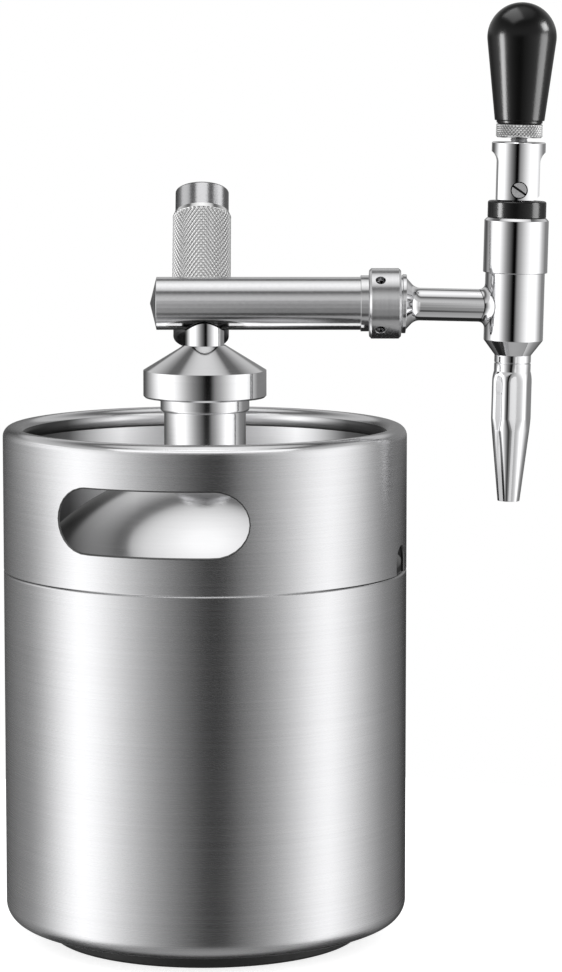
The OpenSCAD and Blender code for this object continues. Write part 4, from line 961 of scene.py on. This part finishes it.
def stud_thread(r, bearing, z):
    """Fine thread of 1 mm pitch along the stud."""
    return r - 0.3 * (0.5 - 0.5 * np.cos(2 * math.pi * (z - bearing / (2 * math.pi)))) * (r > 3.3)


stud = turned(
    "handle_stud",
    section((0, 58.8), (3.5, 58.8, 0.2), (3.5, 95.5, 0.3), (0, 95.5), closed=False, pitch=0.125),
    TAP, 64, stud_thread,
)
fitted(stud, plain_steel, "lever", "plain_steel", "lever_stud")

# Jam nut: a thin knurled nut that locks the knob on the stud.
# Only its round side is knurled, between two plain bevels.
jam_relief = knurl(40, 1.55, GROOVE, 70.2, 74.9, 0.2)
jam = turned(
    "handle_jam_nut",
    section((3.5, 69.55, 0.1), (8.9, 69.55, 0.1), (9.6, 70.25, 0.1), (9.6, 74.85, 0.1), (8.9, 75.55, 0.1),
            (3.5, 75.55, 0.1), pitch=0.15),
    TAP, 480, lambda r, bearing, z: np.where(r > 9.5, jam_relief(r, bearing, z), r), 50,
)
fitted(jam, knurled_steel, "lever", "polished_steel", "jam_nut")

# Knob: a tapered ball grip of black moulding resin, polished, on a brass insert.
# A narrow waist at its foot meets the jam nut.
knob_plastic = finish(
    "knob_plastic", (0.002, 0.002, 0.002), 0.22, (160, 160, 160), 0.3, 0.02, 0.03, metal=0.0, gloss=0.25
)
BALL_R, BALL_Z = 14.25, 110.7
foot_at = np.array([10.3, 77.2 - BALL_Z])
touch = math.atan2(foot_at[1], foot_at[0]) + math.acos(BALL_R / np.linalg.norm(foot_at))
swell = np.linspace(touch, math.pi / 2, 48)
ball = np.stack([np.cos(swell), np.sin(swell)], -1)
ball[-1] = (0, 1)
ball_line = ball * BALL_R + [0, BALL_Z]
base = section(
    (0, 75.55), (9.5, 75.55, 0.15), (9.5, 76.5, 0.15), (10.25, 76.65, 0.35), tuple(ball_line[0]), closed=False
)
knob = turned(
    "handle_grip",
    (np.concatenate([base[0][:-1], ball_line]), np.concatenate([base[1][:-1], ball]), False), TAP, 160,
)
fitted(knob, knob_plastic, "lever", "knob_plastic", "handle_knob")

# Soft boxes for the black plastic alone: a narrow one at the left, a broad one at the right and two higher up,
# which draw the gleams down the knob and the friction ring.
black_plastic = group("black_plastic", knob, ring)
KNOB_AT = np.array([0.131, 0.0, 0.39])
for name, bearing_deg, rise_deg, reach, size, radiance in (
    ("gleam_left", -73, -12, 0.42, (0.13, 0.30), 26.0),
    ("gleam_right", 75, -12, 0.30, (0.15, 0.20), 11.0),
    ("gleam_side", 86, 22, 0.30, (0.12, 0.10), 24.0),
    ("gleam_top", -80, 68, 0.55, (0.60, 0.36), 3.5),
):
    place = KNOB_AT + reach * toward(bearing_deg, rise_deg)
    soft_box(name, place, rise_deg, bearing_deg, size, radiance, black_plastic)

# Nozzle: a long polished spout screwed on to the barrel over an O-ring, with a restrictor disc inside.
# Six round-ended flats are cut round its wide part and turn in to a six-sided tip.
# Two cards light the flats that face the front and the keg.
SWELL_Z, WAIST_Z, JOIN_Z, NOZZLE_END, GROOVE_Z = -31.5, -46.7, -51.5, -81.2, -23.7
WIDE_R, HEAD_R, SWELL_RISE = 8.35, 7.6, 4.5
SWELL_R = (SWELL_RISE**2 + (WIDE_R - HEAD_R) ** 2) / (2 * (WIDE_R - HEAD_R))
FLAT_DEPTH, TIP_DEPTH, FLAT_TURN, EDGE_PER_MM = 7.75, 4.4, math.radians(69), 5.0
bow = np.linspace(0, math.asin(SWELL_RISE / SWELL_R), 9)
outside = section(
    (2.5, NOZZLE_END), (4.7, NOZZLE_END, 0.2), (WIDE_R, WAIST_Z, 2.0),
    *[(WIDE_R - SWELL_R * (1 - math.cos(turn)), SWELL_Z + SWELL_R * math.sin(turn), 0.4) for turn in bow],
    (HEAD_R, GROOVE_Z, 0.08), (7.1, -23.6, 0.08), (7.1, -23.3, 0.08), (HEAD_R, -23.2, 0.08),
    (HEAD_R, CONE_Z, 0.12), (6.5, CONE_Z), closed=False, pitch=0.4,
)
hollow = section((6.5, CONE_Z), (5.5, -30.8, 0.1), (4.0, -30.8, 0.1), (2.5, NOZZLE_END), closed=False)
spout = tuple(np.concatenate([outside[part], hollow[part][1:-1]]) for part in (0, 1))


def flats(r, bearing, z):
    """Six flats: at each bearing the surface is the nearer of the turned shape and the flat that faces that
    way, and runs smoothly from one to the other: it is minus the logarithm of the sum of both shapes'
    negative exponentials. They fade in over 2 mm below the groove."""
    turn = (bearing - FLAT_TURN + math.pi / 6) % (math.pi / 3) - math.pi / 6
    taper = (z - NOZZLE_END) / (JOIN_Z - NOZZLE_END)
    depth = np.where(z > JOIN_Z, FLAT_DEPTH, TIP_DEPTH + (FLAT_DEPTH - TIP_DEPTH) * taper)
    soft = -np.logaddexp(-EDGE_PER_MM * r, -EDGE_PER_MM * depth / np.cos(turn)) / EDGE_PER_MM
    return r + (soft - r) * np.clip((GROOVE_Z - z) / 2, 0, 1)


nozzle = turned("tap_nozzle", (*spout, True), TAP, 360, flats, 13)
fitted(nozzle, tap_chrome, "head", "polished_steel", "nozzle")
spout_steel = group("spout_steel", nozzle)
soft_box("card_spout", (0.258, -0.407, 0.12), 0, 18, (0.06, 0.22), 0.35, spout_steel)
soft_box("card_spout_left", (0.098, 0.0, 0.195), 0, -90, (0.010, 0.085), 0.6, spout_steel)

# Carried-over parts: the lever and its screw, the rod, and the small parts sealed inside keep their own shapes
# and take the finish of their material.
seal_rubber = finish("seal_rubber", (0.025, 0.025, 0.025), 0.45, (800, 800, 800), 0.3, 0.1, 0.1, metal=0.0)
seal_white = finish("seal_white", (0.78, 0.78, 0.75), 0.5, (500, 500, 500), 0.06, 0.1, 0.1, metal=0.0)
insert_brass = finish("insert_brass", (0.72, 0.52, 0.22), 0.25, (90, 90, 2600), 0.12, 0.1, 0.08)
for material, names in (
    (tap_chrome, ("lever",)),
    (screw_steel, ("pivot_screw",)),
    (plain_steel, ("valve_rod", "snap_ring", "piercing_pin", "restrictor_disc")),
    (seal_rubber, ("dip_tube_seal", "check_valve", "rod_seal", "valve_plug", "nozzle_seal")),
    (seal_white, ("neck_gasket", "shank_washer", "piercing_seal")),
    (insert_brass, ("knob_insert",)),
):
    for name in names:
        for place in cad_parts[name].material_slots:
            place.material = material
